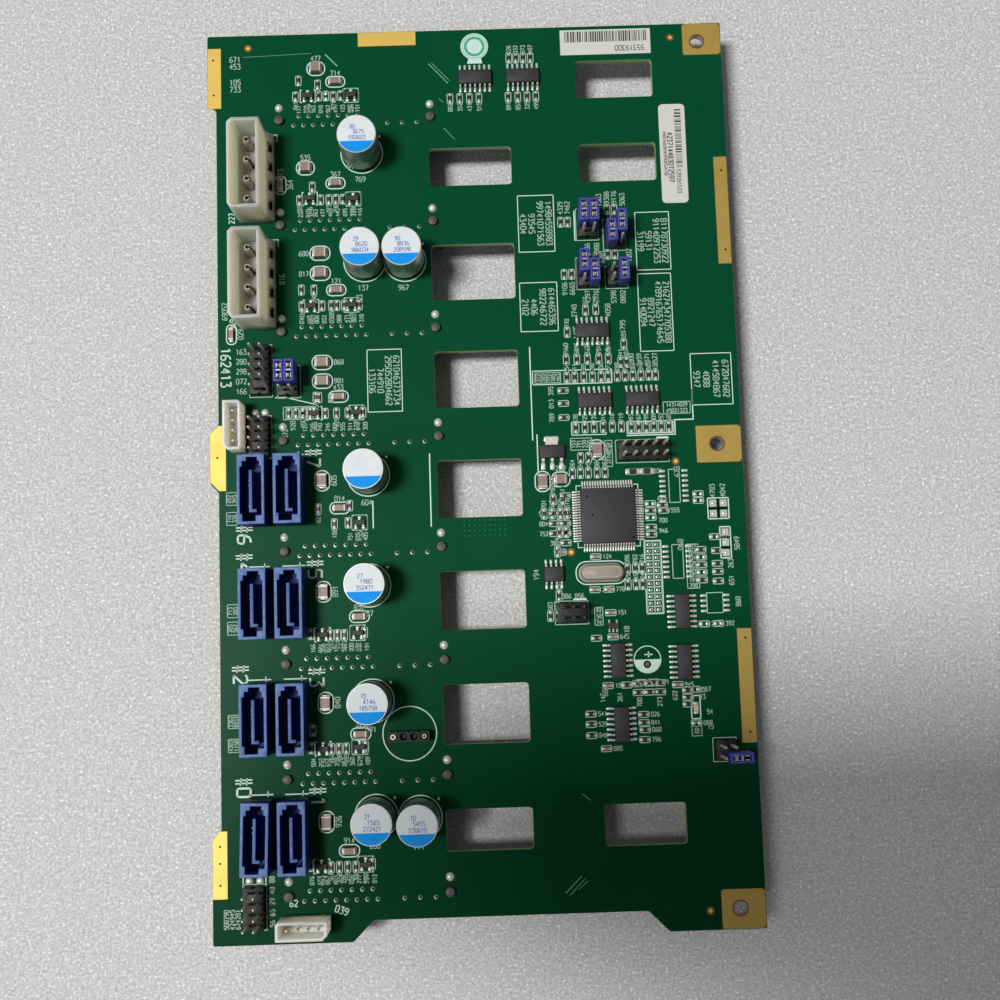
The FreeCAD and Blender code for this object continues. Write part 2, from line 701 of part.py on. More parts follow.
def service_header():
    half_length, half_width = SERVICE_LENGTH / 2, SERVICE_WIDTH / 2
    shell = prism(keyed(half_length, half_width, SERVICE_CHAMFER), 0, SERVICE_HEIGHT)
    inside = keyed(half_length - SERVICE_WALL, half_width - SERVICE_WALL, SERVICE_CHAMFER - SERVICE_WALL / 2)
    shell = shell.cut(prism(inside, SERVICE_FLOOR, SERVICE_HEIGHT - SERVICE_FLOOR))
    return shell


def service_pins():
    return [box(step, 0, SERVICE_FLOOR, HEADER_PIN, HEADER_PIN, SERVICE_PIN_TOP - SERVICE_FLOOR)
            for step in spread(SERVICE_PINS, SERVICE_PITCH)]


# ---------------------------------------------------------------- socket strip
SOCKET_PLACE = (from_left(48.5), bay_row(6, 9.6))


def socket_strip():
    """Low strip with a round bore at each place."""
    body = box(0, 0, 0, SOCKET_PINS * HEADER_PITCH, HEADER_PITCH, SOCKET_HEIGHT)
    bores = [peg(step, 0, SOCKET_HEIGHT - SOCKET_BORE_DEPTH, SOCKET_BORE, SOCKET_BORE_DEPTH)
             for step in spread(SOCKET_PINS, HEADER_PITCH)]
    return body.cut(bores)


# ---------------------------------------------------------------- chips
CONTROLLER_PLACE = (from_right(34.5), bay_row(4, 6.45))
CRYSTAL_PLACE = (from_right(36.75), bay_row(5, 20.2))
REGULATOR_PLACE = (from_left(86.0), bay_row(4, 23.0))
MEMORY_PLACE = (from_left(85.4), bay_row(5, 20.15))
LED_PLACE = (from_right(14.8), bay_row(6, 14.1))
# x, y, turn
LOGIC_PLACES = [
    (from_left(69.5), bay_row(0, 10.1), 0),
    (from_left(81.9), bay_row(0, 10.1), 0),
    (from_right(36.65), bay_row(3, 25.85), 0),
    (from_right(36.75), bay_row(3, 7.85), 0),
    (from_right(24.75), bay_row(3, 7.85), 0),
    (from_right(17.15), bay_row(5, 10.0), 90),
    (from_right(17.15), bay_row(6, 25.5), 90),
    (from_right(33.5), bay_row(6, 26.25), 90),
    (from_right(33.25), bay_row(6, 10.8), 90),
]


def chip_body(length, width, height):
    """Moulded package that narrows above and below its lead frame."""
    middle = height / 2
    layers = []
    for z, inset in ((0, PACKAGE_BEVEL), (middle, 0), (height, PACKAGE_BEVEL)):
        half_x, half_y = length / 2 - inset, width / 2 - inset
        corners = [Vector(-half_x, -half_y, z), Vector(half_x, -half_y, z),
                   Vector(half_x, half_y, z), Vector(-half_x, half_y, z)]
        layers.append(Part.makePolygon(corners + corners[:1]))
    return Part.makeLoft(layers, True, True)


def gull_lead(reach, width, rise):
    """Lead that leaves the package at rise and slopes to a foot on the board."""
    profile = [(0, rise), (-reach, LEAD_THICKNESS), (-reach, 0), (0, rise - LEAD_THICKNESS)]
    return side_profile(profile, width)


def lead_row(count, pitch, width_of_body, reach, width, rise, sides):
    """Leads along the sides of a package; a side is its turn in degrees about Z."""
    lead = gull_lead(reach, width, rise)
    row = [placed(lead, step, -width_of_body / 2, 0) for step in spread(count, pitch)]
    return [placed(solid, 0, 0, 0, turn) for turn in sides for solid in row]


def chip_leads():
    rise = BODY_STAND_OFF + LOGIC_HEIGHT / 2 + LEAD_THICKNESS / 2
    groups = []
    controller = lead_row(CONTROLLER_LEADS, CONTROLLER_LEAD_PITCH, CONTROLLER_SIZE, CONTROLLER_LEAD_REACH,
                          CONTROLLER_LEAD_WIDTH, rise, (0, 90, 180, 270))
    groups.append((controller, CONTROLLER_PLACE, 0))
    memory = lead_row(MEMORY_LEADS, LOGIC_LEAD_PITCH, LOGIC_WIDTH, LOGIC_LEAD_REACH,
                      LEAD_WIDTH, rise, (0, 180))
    groups.append((memory, MEMORY_PLACE, 0))
    regulator = lead_row(REGULATOR_LEADS, REGULATOR_LEAD_PITCH, REGULATOR_WIDTH, REGULATOR_TAB_REACH,
                         REGULATOR_LEAD_WIDTH, rise, (0,))
    tab = box(0, (REGULATOR_WIDTH + REGULATOR_TAB_REACH) / 2, 0,
              REGULATOR_TAB_WIDTH, REGULATOR_TAB_REACH, REGULATOR_TAB_THICKNESS)
    groups.append((regulator + [tab], REGULATOR_PLACE, 0))
    return [placed(solid, x, y, BOARD_TOP, turn) for solids, (x, y), turn in groups for solid in solids]


def crystal_can():
    """Low can with round ends on a thin clipped flange."""
    flange = clipped_block(0, 0, 0, CRYSTAL_LENGTH, CRYSTAL_WIDTH, CRYSTAL_FLANGE, CRYSTAL_WIDTH / 4)
    width = CRYSTAL_WIDTH - 2 * CRYSTAL_RIM
    can = rounded_block(0, 0, CRYSTAL_FLANGE, CRYSTAL_LENGTH - 2 * CRYSTAL_RIM, width,
                        CRYSTAL_HEIGHT - CRYSTAL_FLANGE, CRYSTAL_ROUND * width)
    return flange.fuse(can)


# ---------------------------------------------------------------- two-ended chips
# length, width, height
BROAD, MEDIUM, NARROW = (2.7, 2.4, 1.6), (3.2, 2.4, 1.5), (3.2, 1.2, 0.9)
SMALL, TINY = (3.0, 1.6, 1.1), (1.6, 0.8, 0.5)
# bay, from the left edge, above the bay's row, size, turn
BAY_CAPACITORS = [
    (0, 28.2, 14.0, BROAD, 0), (0, 33.2, 10.3, SMALL, 0),
    (1, 25.1, 15.2, BROAD, 0), (1, 32.8, 10.9, SMALL, 0), (1, 18.6, 10.8, SMALL, 90),
    (2, 28.5, 20.4, MEDIUM, 0), (2, 28.5, 15.1, MEDIUM, 0), (2, 32.5, 10.6, SMALL, 0),
    (3, 28.6, 19.8, MEDIUM, 0), (3, 28.6, 15.0, MEDIUM, 0), (3, 32.6, 10.9, SMALL, 0),
    (4, 28.1, 17.5, MEDIUM, 90), (4, 32.4, 10.5, SMALL, 0),
    (5, 28.0, 17.6, MEDIUM, 90), (5, 36.8, 11.2, SMALL, 0),
    (6, 28.1, 18.2, MEDIUM, 90), (6, 36.6, 10.4, SMALL, 0),
    (7, 27.9, 17.4, MEDIUM, 90), (7, 33.3, 10.4, SMALL, 0),
    (2, 5.7, -0.2, NARROW, 90),
    (4, 83.4, 15.6, MEDIUM, 90), (4, 88.0, 16.0, BROAD, 0), (4, 97.4, 23.2, MEDIUM, 90),
]
# bay, from the left edge, above the bay's row
BAY_TRANSISTORS = [
    (0, 26.0, 6.6), (0, 37.2, 6.5), (1, 26.1, 7.0), (1, 37.3, 6.6), (2, 26.0, 6.6), (2, 36.3, 6.6),
    (3, 26.4, 6.8), (3, 37.0, 6.7), (4, 37.3, 6.7), (5, 27.6, 7.0), (5, 36.3, 7.2), (6, 27.3, 7.1),
    (6, 36.3, 7.3), (7, 26.5, 6.9), (7, 37.2, 7.1),
]
BAY_RESISTORS = [
    (0, 22.8, 6.5, 90), (0, 32.6, 6.3, 90), (0, 28.6, 9.6, 90), (1, 23.5, 6.6, 90), (1, 31.0, 6.6, 90),
    (1, 32.8, 6.6, 90), (1, 26.8, 10.1, 90), (2, 23.7, 6.6, 90), (2, 31.2, 6.6, 90), (2, 26.8, 10.8, 90),
    (3, 23.5, 6.7, 90), (3, 32.0, 6.7, 90), (3, 26.9, 10.9, 90), (4, 31.0, 6.5, 90), (4, 27.0, 10.4, 90),
    (5, 29.6, 6.8, 90), (5, 31.3, 6.8, 90), (5, 33.0, 6.8, 90), (6, 29.4, 7.0, 90), (6, 31.2, 7.0, 90),
    (6, 33.0, 7.0, 90), (7, 28.8, 6.6, 90), (7, 30.8, 6.6, 90), (7, 32.8, 6.6, 90), (7, 34.8, 6.6, 90),
]


def chip_block(bay, left, above, size, turn):
    length, width, height = size
    return placed(box(0, 0, 0, length, width, height), from_left(left), bay_row(bay, above), BOARD_TOP, turn)


# ---------------------------------------------------------------- paper labels
def barcode_label():
    return [box(from_right(30.2), from_top(BARCODE_LABEL_INSET), BOARD_TOP,
                BARCODE_LABEL_LENGTH, BARCODE_LABEL_WIDTH, LABEL_THICKNESS)]


def side_label():
    return [clipped_block(from_right(13.8), bay_row(1, 16.3), BOARD_TOP,
                          SIDE_LABEL_WIDTH, SIDE_LABEL_LENGTH, LABEL_THICKNESS, SIDE_LABEL_CORNER)]


def round_sticker():
    """Round sticker with a short pull tab towards the middle of the board."""
    x, y = from_left(69.6), from_top(4.7)
    tab = box(x, y - STICKER_TAB_REACH / 2, BOARD_TOP, STICKER_TAB_WIDTH, STICKER_TAB_REACH, LABEL_THICKNESS)
    paper = prism(ring_of(STICKER_DIAMETER, 2 * SMALL_SIDES), 0, LABEL_THICKNESS)
    return [placed(paper, x, y, BOARD_TOP).fuse(tab).removeSplitter()]


# ---------------------------------------------------------------- assembly
def build():
    export("circuit_board", [circuit_board()])

    receptacle_x = from_left(RECEPTACLE_CENTRE)
    blades, locks = [], []
    for bay in range(BAY_COUNT):
        export("drive_receptacle_" + str(bay), [placed(drive_receptacle(), receptacle_x, bay_row(bay), 0)])
        blades += [placed(blade, receptacle_x, bay_row(bay), 0) for blade in receptacle_contacts()]
        locks += [placed(lock, receptacle_x, bay_row(bay), 0) for lock in board_locks()]
    export("receptacle_contacts", blades)
    export("receptacle_board_locks", locks)

    contacts = []
    for number, (x, y, turn) in port_places().items():
        export("data_port_" + str(number), [placed(data_port(), x, y, BOARD_TOP, turn)])
        contacts += [placed(contact, x, y, BOARD_TOP, turn) for contact in port_contacts()]
    export("data_port_contacts", contacts)

    power_pins = []
    for name, (x, y) in zip(("power_header_upper", "power_header_lower"), POWER_PLACES):
        export(name, [placed(power_header(), x, y, BOARD_TOP)])
        power_pins += [placed(power_pin(), x, y + step, BOARD_TOP)
                       for step in spread(POWER_PINS, POWER_PITCH)]
    export("power_pins", power_pins)

    for index, (left, y) in enumerate(CAN_PLACES):
        export("capacitor_" + str(index), [placed(capacitor_can(), from_left(left), y, BOARD_TOP)])
    export("capacitor_seals", [placed(capacitor_seal(), from_left(left), y, BOARD_TOP)
                               for left, y in CAN_PLACES])

    pins = []
    for name, header in HEADERS.items():
        body, header_pins = header_solids(header)
        export(name, [body])
        pins += header_pins
    blocks = []
    for header in JUMPER_BLOCKS.values():
        body, header_pins = header_solids(header)
        blocks.append(body)
        pins += header_pins
    export("jumper_blocks", blocks)
    export("header_pins", pins)
    export("jumper_shunts", shunt_solids())

    pins = []
    for name, (x, y, turn) in SERVICE_PLACES.items():
        export(name, [placed(service_header(), x, y, BOARD_TOP, turn)])
        pins += [placed(pin, x, y, BOARD_TOP, turn) for pin in service_pins()]
    export("service_header_pins", pins)
    export("socket_strip", [placed(socket_strip(), *SOCKET_PLACE, BOARD_TOP)])

    level = BOARD_TOP + BODY_STAND_OFF
    controller = chip_body(CONTROLLER_SIZE, CONTROLLER_SIZE, CONTROLLER_HEIGHT)
    logic = chip_body(LOGIC_LENGTH, LOGIC_WIDTH, LOGIC_HEIGHT)
    memory = chip_body(MEMORY_LENGTH, LOGIC_WIDTH, LOGIC_HEIGHT)
    regulator = chip_body(REGULATOR_LENGTH, REGULATOR_WIDTH, REGULATOR_HEIGHT)
    export("controller_chip", [placed(controller, *CONTROLLER_PLACE, level)])
    export("logic_chips", [placed(logic, x, y, BOARD_TOP, turn) for x, y, turn in LOGIC_PLACES])
    export("memory_chip", [placed(memory, *MEMORY_PLACE, level)])
    export("voltage_regulator", [placed(regulator, *REGULATOR_PLACE, level)])
    export("chip_leads", chip_leads())
    export("timing_crystal", [placed(crystal_can(), *CRYSTAL_PLACE, BOARD_TOP)])
    export("status_led", [placed(box(0, 0, 0, *LAMP_SIZE), *LED_PLACE, BOARD_TOP)])
    export("chip_capacitors", [chip_block(*place) for place in BAY_CAPACITORS])
    export("transistors", [chip_block(*place, TRANSISTOR_SIZE, 0) for place in BAY_TRANSISTORS])
    export("chip_resistors", [chip_block(bay, left, above, TINY, turn)
                              for bay, left, above, turn in BAY_RESISTORS])

    export("barcode_label", barcode_label())
    export("side_label", side_label())
    export("round_sticker", round_sticker())


os.makedirs("parts", exist_ok=True)
build()
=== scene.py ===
"""Looks of the drive backplane board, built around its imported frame.

Lengths are in millimetres until a piece is made; X and Y run as in the frame.
"""
import math
import random

import bmesh
import bpy
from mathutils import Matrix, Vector


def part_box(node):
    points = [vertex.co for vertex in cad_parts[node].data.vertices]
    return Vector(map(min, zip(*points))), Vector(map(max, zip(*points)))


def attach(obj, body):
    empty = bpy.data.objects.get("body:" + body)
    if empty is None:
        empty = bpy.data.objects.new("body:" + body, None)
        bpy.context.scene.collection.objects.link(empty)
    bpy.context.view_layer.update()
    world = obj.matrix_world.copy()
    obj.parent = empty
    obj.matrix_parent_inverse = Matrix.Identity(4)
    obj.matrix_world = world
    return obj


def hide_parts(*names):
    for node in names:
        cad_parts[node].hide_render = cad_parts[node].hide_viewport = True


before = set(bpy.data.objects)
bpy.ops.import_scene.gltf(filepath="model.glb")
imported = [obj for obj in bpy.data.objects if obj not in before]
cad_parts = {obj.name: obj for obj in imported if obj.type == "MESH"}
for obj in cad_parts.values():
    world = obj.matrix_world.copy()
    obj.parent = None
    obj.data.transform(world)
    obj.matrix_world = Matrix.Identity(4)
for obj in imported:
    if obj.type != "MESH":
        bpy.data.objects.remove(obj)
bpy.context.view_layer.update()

MM = 0.001
SILK_RISE = 0.03                # the legend's thickness
PAD_RISE = 0.035                # a bare pad's thickness
PRINT_RISE = 0.012              # ink on a label or a package
LABEL_RISE = 0.07
random.seed(41)


# ---------------------------------------------------------------- places
def box(node):
    """A CAD node's low and high corners."""
    return tuple(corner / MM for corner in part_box(node))


def middle(low, high):
    return (low.x + high.x) / 2, (low.y + high.y) / 2


def sizes(low, high):
    return [end - start for start, end in zip(low, high)]


def placed(node):
    """A CAD node's middle along X and Y, then its low and high corners."""
    low, high = box(node)
    return (*middle(low, high), low, high)


(LEFT, FRONT, UNDER), (RIGHT, BACK, TOP) = box("circuit_board")
BAY_COUNT = 8
RECEPTACLE_HALF_WIDTH = 3.4
BAY_ROWS = [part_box("drive_receptacle_%d" % bay)[0].y / MM + RECEPTACLE_HALF_WIDTH for bay in range(BAY_COUNT)]
PITCH = 2.54                    # between header pins
CHIP_PITCH = 1.27               # between a logic chip's leads
PIN_SIDE = 0.64


def at(x, y):
    """A place given from the board's left and lower edges."""
    return LEFT + x, FRONT + y


def along(xs, y):
    """Places side by side in a row."""
    return [(x, y) for x in xs]


def up(x, ys):
    """Places above one another."""
    return [(x, y) for y in ys]


def bay(index, above=0.0):
    """Height of a bay's row of pegs along the board, or a distance above it."""
    return BAY_ROWS[index] + above


def spread(count, pitch):
    return [(index - (count - 1) / 2) * pitch for index in range(count)]


def turned(a, b, turn):
    """A place turned about zero by degrees."""
    cos, sin = math.cos(math.radians(turn)), math.sin(math.radians(turn))
    return cos * a - sin * b, sin * a + cos * b


def solids(node):
    """Middle along X and Y, low and high corners of each separate solid of a CAD node."""
    work = bmesh.new()
    work.from_mesh(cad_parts[node].data)
    bmesh.ops.remove_doubles(work, verts=work.verts, dist=1e-6)
    waiting, found = set(work.verts), []
    while waiting:
        reached, group = [waiting.pop()], []
        while reached:
            vertex = reached.pop()
            group.append(vertex.co / MM)
            for edge in vertex.link_edges:
                other = edge.other_vert(vertex)
                if other in waiting:
                    waiting.remove(other)
                    reached.append(other)
        low, high = (Vector(fold(point[axis] for point in group) for axis in range(3)) for fold in (min, max))
        found.append((*middle(low, high), low, high))
    work.free()
    # always in the same order, with a nudge that keeps round sizes off the edge of the rounding
    return sorted(found, key=lambda solid: [round(value + 0.0021, 2) for value in (*solid[2], *solid[3])])


# ---------------------------------------------------------------- finishes
def linear(value):
    value /= 255
    return value / 12.92 if value <= 0.04045 else ((value + 0.055) / 1.055) ** 2.4


def tone(red, green, blue):
    """A colour as it is seen, turned to the renderer's light values."""
    return tuple(linear(value) for value in (red, green, blue)) + (1.0,)


def shaded(colour, factor):
    return tuple(min(1.0, value * factor) for value in colour[:3]) + (1.0,)


def add_node(tree, kind, **inputs):
    node = tree.nodes.new(kind)
    for name, value in inputs.items():
        node.inputs[name].default_value = value
    return node


def own_space(tree):
    return tree.nodes.new("ShaderNodeTexCoord").outputs["Object"]


def noise(tree, size, detail=3.0):
    """Noise whose features are about size millimetres across, in the piece's own space."""
    node = add_node(tree, "ShaderNodeTexNoise", Scale=1 / (size * MM), Detail=detail, Roughness=0.55)
    tree.links.new(own_space(tree), node.inputs["Vector"])
    return node.outputs["Fac"]


def blend_colour(tree, factor, first, second, blend="MIX"):
    node = tree.nodes.new("ShaderNodeMix")
    node.data_type = "RGBA"
    node.blend_type = blend
    for socket, value in ((node.inputs[0], factor), (node.inputs[6], first), (node.inputs[7], second)):
        if isinstance(value, bpy.types.NodeSocket):
            tree.links.new(value, socket)
        else:
            socket.default_value = value
    return node.outputs[2]


def remap(tree, value, low, high, new_low=0.0, new_high=1.0):
    node = add_node(tree, "ShaderNodeMapRange")
    tree.links.new(value, node.inputs["Value"])
    for name, number in zip(("From Min", "From Max", "To Min", "To Max"), (low, high, new_low, new_high)):
        node.inputs[name].default_value = number
    return node.outputs["Result"]


def height_of(tree, source):
    """The Z part of a vector."""
    split = tree.nodes.new("ShaderNodeSeparateXYZ")
    tree.links.new(source, split.inputs["Vector"])
    return split.outputs["Z"]


def combine(tree, operation, *sources):
    node = tree.nodes.new("ShaderNodeMath")
    node.operation = operation
    for source, socket in zip(sources, node.inputs):
        tree.links.new(source, socket)
    return node.outputs[0]


def finish(name, seen, rough, metal=0.0, coat=0.0, vary=0.12, patch=6.0, rough_vary=0.08, bump=0.15,
           grain=0.25, depth=0.01, subsurface=0.0, sheen_spots=None, shine=0.5, reach=7.0):
    """A procedural finish: colour in soft patches, uneven gloss and a fine bumpy grain."""
    colour = tone(*seen)
    material = bpy.data.materials.new(name)
    material.use_nodes = True
    tree = material.node_tree
    shader = tree.nodes["Principled BSDF"]
    patches = remap(tree, noise(tree, patch), 0.3, 0.7)
    mixed = blend_colour(tree, patches, shaded(colour, 1 - vary), shaded(colour, 1 + vary))
    fine = remap(tree, noise(tree, grain * 2), 0.35, 0.65, 0.0, 0.35)
    mixed = blend_colour(tree, fine, mixed, shaded(colour, 1 - vary))
    # Sheen spots are white spots painted into the colour as glints.
    if sheen_spots:
        size, spot_colour, share = sheen_spots
        spots = remap(tree, noise(tree, size, 4.0), 1 - share, 1 - share + 0.06)
        mixed = blend_colour(tree, spots, mixed, tone(*spot_colour))
    tree.links.new(mixed, shader.inputs["Base Color"])
    gloss = remap(tree, noise(tree, patch * 0.6), 0.3, 0.7, max(0.02, rough - rough_vary), rough + rough_vary)
    tree.links.new(gloss, shader.inputs["Roughness"])
    relief = add_node(tree, "ShaderNodeBump", Strength=bump, Distance=depth * MM)
    tree.links.new(noise(tree, grain), relief.inputs["Height"])
    tree.links.new(relief.outputs["Normal"], shader.inputs["Normal"])
    for socket, value in (("Metallic", metal), ("Specular IOR Level", shine), ("Coat Weight", coat),
                          ("Coat Roughness", 0.12)):
        shader.inputs[socket].default_value = value
    if subsurface:
        shader.inputs["Subsurface Weight"].default_value = subsurface
        shader.inputs["Subsurface Radius"].default_value = (1.0, 0.85, 0.62)
        shader.inputs["Subsurface Scale"].default_value = reach * MM
    return material


def recoloured(material, change):
    """A finish whose colour goes through change, which takes its nodes and the colour so far."""
    tree = material.node_tree
    base = tree.nodes["Principled BSDF"].inputs["Base Color"]
    tree.links.new(change(tree, base.links[0].from_socket), base)
    return material


def deepened(material, start, end, least):
    """Painted shade: tones a finish down towards the board's lower right, by its place."""
    def change(tree, colour):
        toward = tree.nodes.new("ShaderNodeVectorMath")
        toward.operation = "DOT_PRODUCT"
        toward.inputs[1].default_value = (0.3, -1.0, 0.0)
        tree.links.new(own_space(tree), toward.inputs[0])
        share = remap(tree, toward.outputs["Value"], start, end, 1.0, least)
        return blend_colour(tree, 1.0, colour, share, "MULTIPLY")
    return recoloured(material, change)


def mask_finish(name, seen):
    """Glossy green mask with painted shade, darker towards the lower right; the cut edges show bare laminate.
    """
    def change(tree, green):
        normal = tree.nodes.new("ShaderNodeNewGeometry").outputs["True Normal"]
        flat = remap(tree, combine(tree, "ABSOLUTE", height_of(tree, normal)), 0.4, 0.6)
        layers = remap(tree, noise(tree, 0.35), 0.35, 0.65)
        laminate = blend_colour(tree, layers, tone(128, 158, 96), tone(170, 190, 140))
        return blend_colour(tree, flat, laminate, green)
    green = finish(name, seen, 0.31, vary=0.05, patch=22.0, rough_vary=0.015, bump=0.05, grain=0.5,
                   shine=0.035)
    return recoloured(deepened(green, 0.02, 0.115, 0.57), change)


PORT_HEIGHT = 8.5


def port_finish():
    """Dark blue moulding; its deep navy stands partly for painted shade in the mouth, and its upward faces near
    the top turn paler blue as painted sheen.
    """
    def change(tree, deep):
        rim = (TOP + PORT_HEIGHT) * MM
        near_top = remap(tree, height_of(tree, own_space(tree)), rim - 1.35 * MM, rim - 1.0 * MM)
        normal = tree.nodes.new("ShaderNodeNewGeometry").outputs["Normal"]
        # Upward faces near the rim get a paler blue as painted sheen.
        sheen_share = combine(tree, "MULTIPLY", near_top, remap(tree, height_of(tree, normal), 0.2, 0.8))
        painted_sheen = blend_colour(tree, remap(tree, noise(tree, 1.2), 0.3, 0.7), tone(74, 104, 156),
                             tone(100, 128, 178))
        return blend_colour(tree, sheen_share, deep, painted_sheen)
    blue = finish("port_moulding", (10, 30, 104), 0.5, vary=0.08, patch=3.0, bump=0.15, grain=0.14,
                  shine=0.25)
    return recoloured(blue, change)


MASK = mask_finish("solder_mask", (7, 72, 45))
MASK_LINE = mask_finish("mask_over_track", (16, 96, 64))
# A duller, darker gold for the pads on the board's right side.
DULL_GOLD = finish("duller_gold", (176, 148, 74), 0.5, metal=0.35, vary=0.05, patch=5.0, rough_vary=0.04,
                   bump=0.1, grain=0.12, shine=0.3)
GOLD = finish("bare_gold", (222, 186, 92), 0.5, metal=0.35, vary=0.03, patch=9.0, rough_vary=0.04,
              bump=0.1, grain=0.12, shine=0.3)
RING_BROWN = finish("bare_ring", (120, 78, 22), 0.5, metal=0.3, vary=0.1, patch=1.0)
TAIL_SHADE = finish("tail_shade", (26, 44, 34), 0.6, vary=0.15, patch=0.8, shine=0.2)
TAIL_DIM = finish("tail_solder", (92, 118, 98), 0.5, metal=0.2, vary=0.15, patch=0.8)
DULL_PIN = finish("plated_pin", (166, 162, 146), 0.45, metal=0.15, vary=0.1, patch=1.5, bump=0.2, grain=0.2)
TIN = finish("bright_tin", (212, 208, 200), 0.36, metal=0.45, vary=0.1, patch=0.8, bump=0.3, grain=0.15)
CAP_TIN = finish("chip_ends", (196, 184, 176), 0.42, metal=0.3, vary=0.08, patch=0.6, bump=0.25, grain=0.15)
DIM_PIN = finish("dim_pin", (84, 78, 72), 0.5, metal=0.2, vary=0.1, patch=0.8)
PIN = finish("header_pin", (200, 194, 176), 0.36, metal=0.3, vary=0.1, patch=0.8, bump=0.2, grain=0.15)
SOLDER = finish("solder", (214, 216, 212), 0.34, metal=0.35, vary=0.1, patch=0.6, bump=0.35, grain=0.2)
PAD = finish("tinned_pad", (196, 200, 190), 0.42, metal=0.4, vary=0.1, patch=0.6, bump=0.3, grain=0.2)
SILK = finish("silk_legend", (206, 228, 214), 0.65, vary=0.06, patch=1.5, bump=0.2, grain=0.1, shine=0.3)
SILK_SOFT = finish("silk_small", (168, 196, 178), 0.65, vary=0.08, patch=1.0, bump=0.2, grain=0.1, shine=0.3)
BLACK = finish("black_moulding", (22, 21, 22), 0.5, vary=0.15, patch=2.0, bump=0.25, grain=0.12, shine=0.3)
PEG_GREY = finish("receptacle_moulding", (74, 70, 70), 0.55, vary=0.15, patch=1.2, bump=0.3, grain=0.15)
SHUNT_BLUE = finish("shunt_moulding", (66, 72, 158), 0.5, vary=0.08, patch=1.5, bump=0.2, grain=0.12,
                    shine=0.3)
CREAM = finish("cream_moulding", (184, 182, 163), 0.5, vary=0.04, patch=5.0, bump=0.12, grain=0.3,
               subsurface=1.0, reach=14.0)
WHITE = finish("white_moulding", (226, 222, 206), 0.45, vary=0.04, patch=3.0, bump=0.12, grain=0.2,
               subsurface=1.0)
CAN = finish("drawn_can", (192, 194, 192), 0.32, metal=0.85, vary=0.08, patch=4.0, bump=0.12, grain=0.1)
# Can tops and their blue marks carry painted shade towards the board's lower right.
CAN_TOP = deepened(finish("can_top_coat", (220, 225, 227), 0.6, vary=0.04, patch=3.0, bump=0.12, shine=0.25),
                   0.05, 0.11, 0.9)
CAN_BLUE = deepened(finish("can_blue_mark", (0, 146, 232), 0.6, vary=0.04, patch=2.0, bump=0.1, shine=0.15),
                    0.05, 0.11, 0.95)
CAN_INK = finish("can_ink", (136, 150, 200), 0.6, vary=0.1, patch=0.6, shine=0.2)
SEAL = finish("seal_rubber", (30, 30, 30), 0.7, vary=0.1)
CHIP = finish("moulded_package", (52, 49, 52), 0.55, vary=0.06, patch=2.5, rough_vary=0.03, bump=0.3,
              grain=0.09, shine=0.3)
CHIP_INK = finish("package_marks", (84, 82, 82), 0.55, vary=0.1, patch=0.5, shine=0.3)
CERAMIC = finish("brown_ceramic", (140, 118, 106), 0.45, vary=0.08, patch=0.8, bump=0.2, grain=0.1)
RESISTOR = finish("glazed_black", (40, 40, 42), 0.35, vary=0.12, patch=0.6, bump=0.15)
CRYSTAL = finish("drawn_steel", (152, 144, 130), 0.6, metal=0.3, vary=0.05, patch=2.0, bump=0.15, grain=0.1)
PAPER = finish("label_paper", (206, 205, 198), 0.65, vary=0.02, patch=4.0, bump=0.2, grain=0.15, shine=0.3)
INK = finish("label_ink", (70, 66, 66), 0.6, vary=0.1, patch=1.0, shine=0.3)
STICKER = finish("sticker_mint", (196, 222, 212), 0.6, vary=0.03, patch=2.0, shine=0.3)
STICKER_GREEN = finish("sticker_green", (72, 168, 132), 0.5, vary=0.08, patch=1.0, shine=0.3)
LAMP = finish("lamp_lens", (214, 208, 178), 0.25, vary=0.05, patch=0.8, coat=0.5, subsurface=0.3)
SCRATCH = finish("scratched_mask", (120, 168, 140), 0.5, vary=0.15, patch=1.0)
DARK = finish("hole_shade", (10, 14, 12), 0.7, vary=0.1, shine=0.1)
CONTACT = finish("shaded_contact", (150, 132, 96), 0.4, metal=0.6, vary=0.1, patch=1.0)
PORT_BLUE = port_finish()


# ---------------------------------------------------------------- shapes
def prism(outline, height):
    """An outline of (x, y) corners raised from zero."""
    return stack([(outline, 0.0), (outline, height)])


def rectangle(length, width, cut=0.0):
    x, y = length / 2, width / 2
    if not cut:
        return [(-x, -y), (x, -y), (x, y), (-x, y)]
    return [(-x + cut, -y), (x - cut, -y), (x, -y + cut), (x, y - cut),
            (x - cut, y), (-x + cut, y), (-x, y - cut), (-x, -y + cut)]


def arc(x, y, radius, start, end, steps):
    turns = [math.radians(start + (end - start) * step / steps) for step in range(steps + 1)]
    return [(x + radius * math.cos(turn), y + radius * math.sin(turn)) for turn in turns]


def rounded(length, width, radius, steps=5):
    x, y = length / 2 - radius, width / 2 - radius
    return (arc(x, y, radius, 0, 90, steps) + arc(-x, y, radius, 90, 180, steps)
            + arc(-x, -y, radius, 180, 270, steps) + arc(x, -y, radius, 270, 360, steps))


def stack(layers):
    """Closed shape through outlines of equal corner counts at rising heights."""
    count = len(layers[0][0])
    points = [(x, y, z) for outline, z in layers for x, y in outline]
    faces = [tuple(reversed(range(count)))]
    for low in range(0, len(points) - count, count):
        faces += [(low + step, low + (step + 1) % count, low + count + (step + 1) % count, low + count + step)
                  for step in range(count)]
    faces.append(tuple(range(len(points) - count, len(points))))
    return points, faces


def block(length, width, height, cut=0.0):
    """A block on zero; with a cut, its upright and top edges are bevelled."""
    if not cut:
        return prism(rectangle(length, width), height)
    return stack([(rectangle(length, width, cut), 0.0), (rectangle(length, width, cut), height - cut),
                  (rectangle(length - 2 * cut, width - 2 * cut, cut * 0.6), height)])


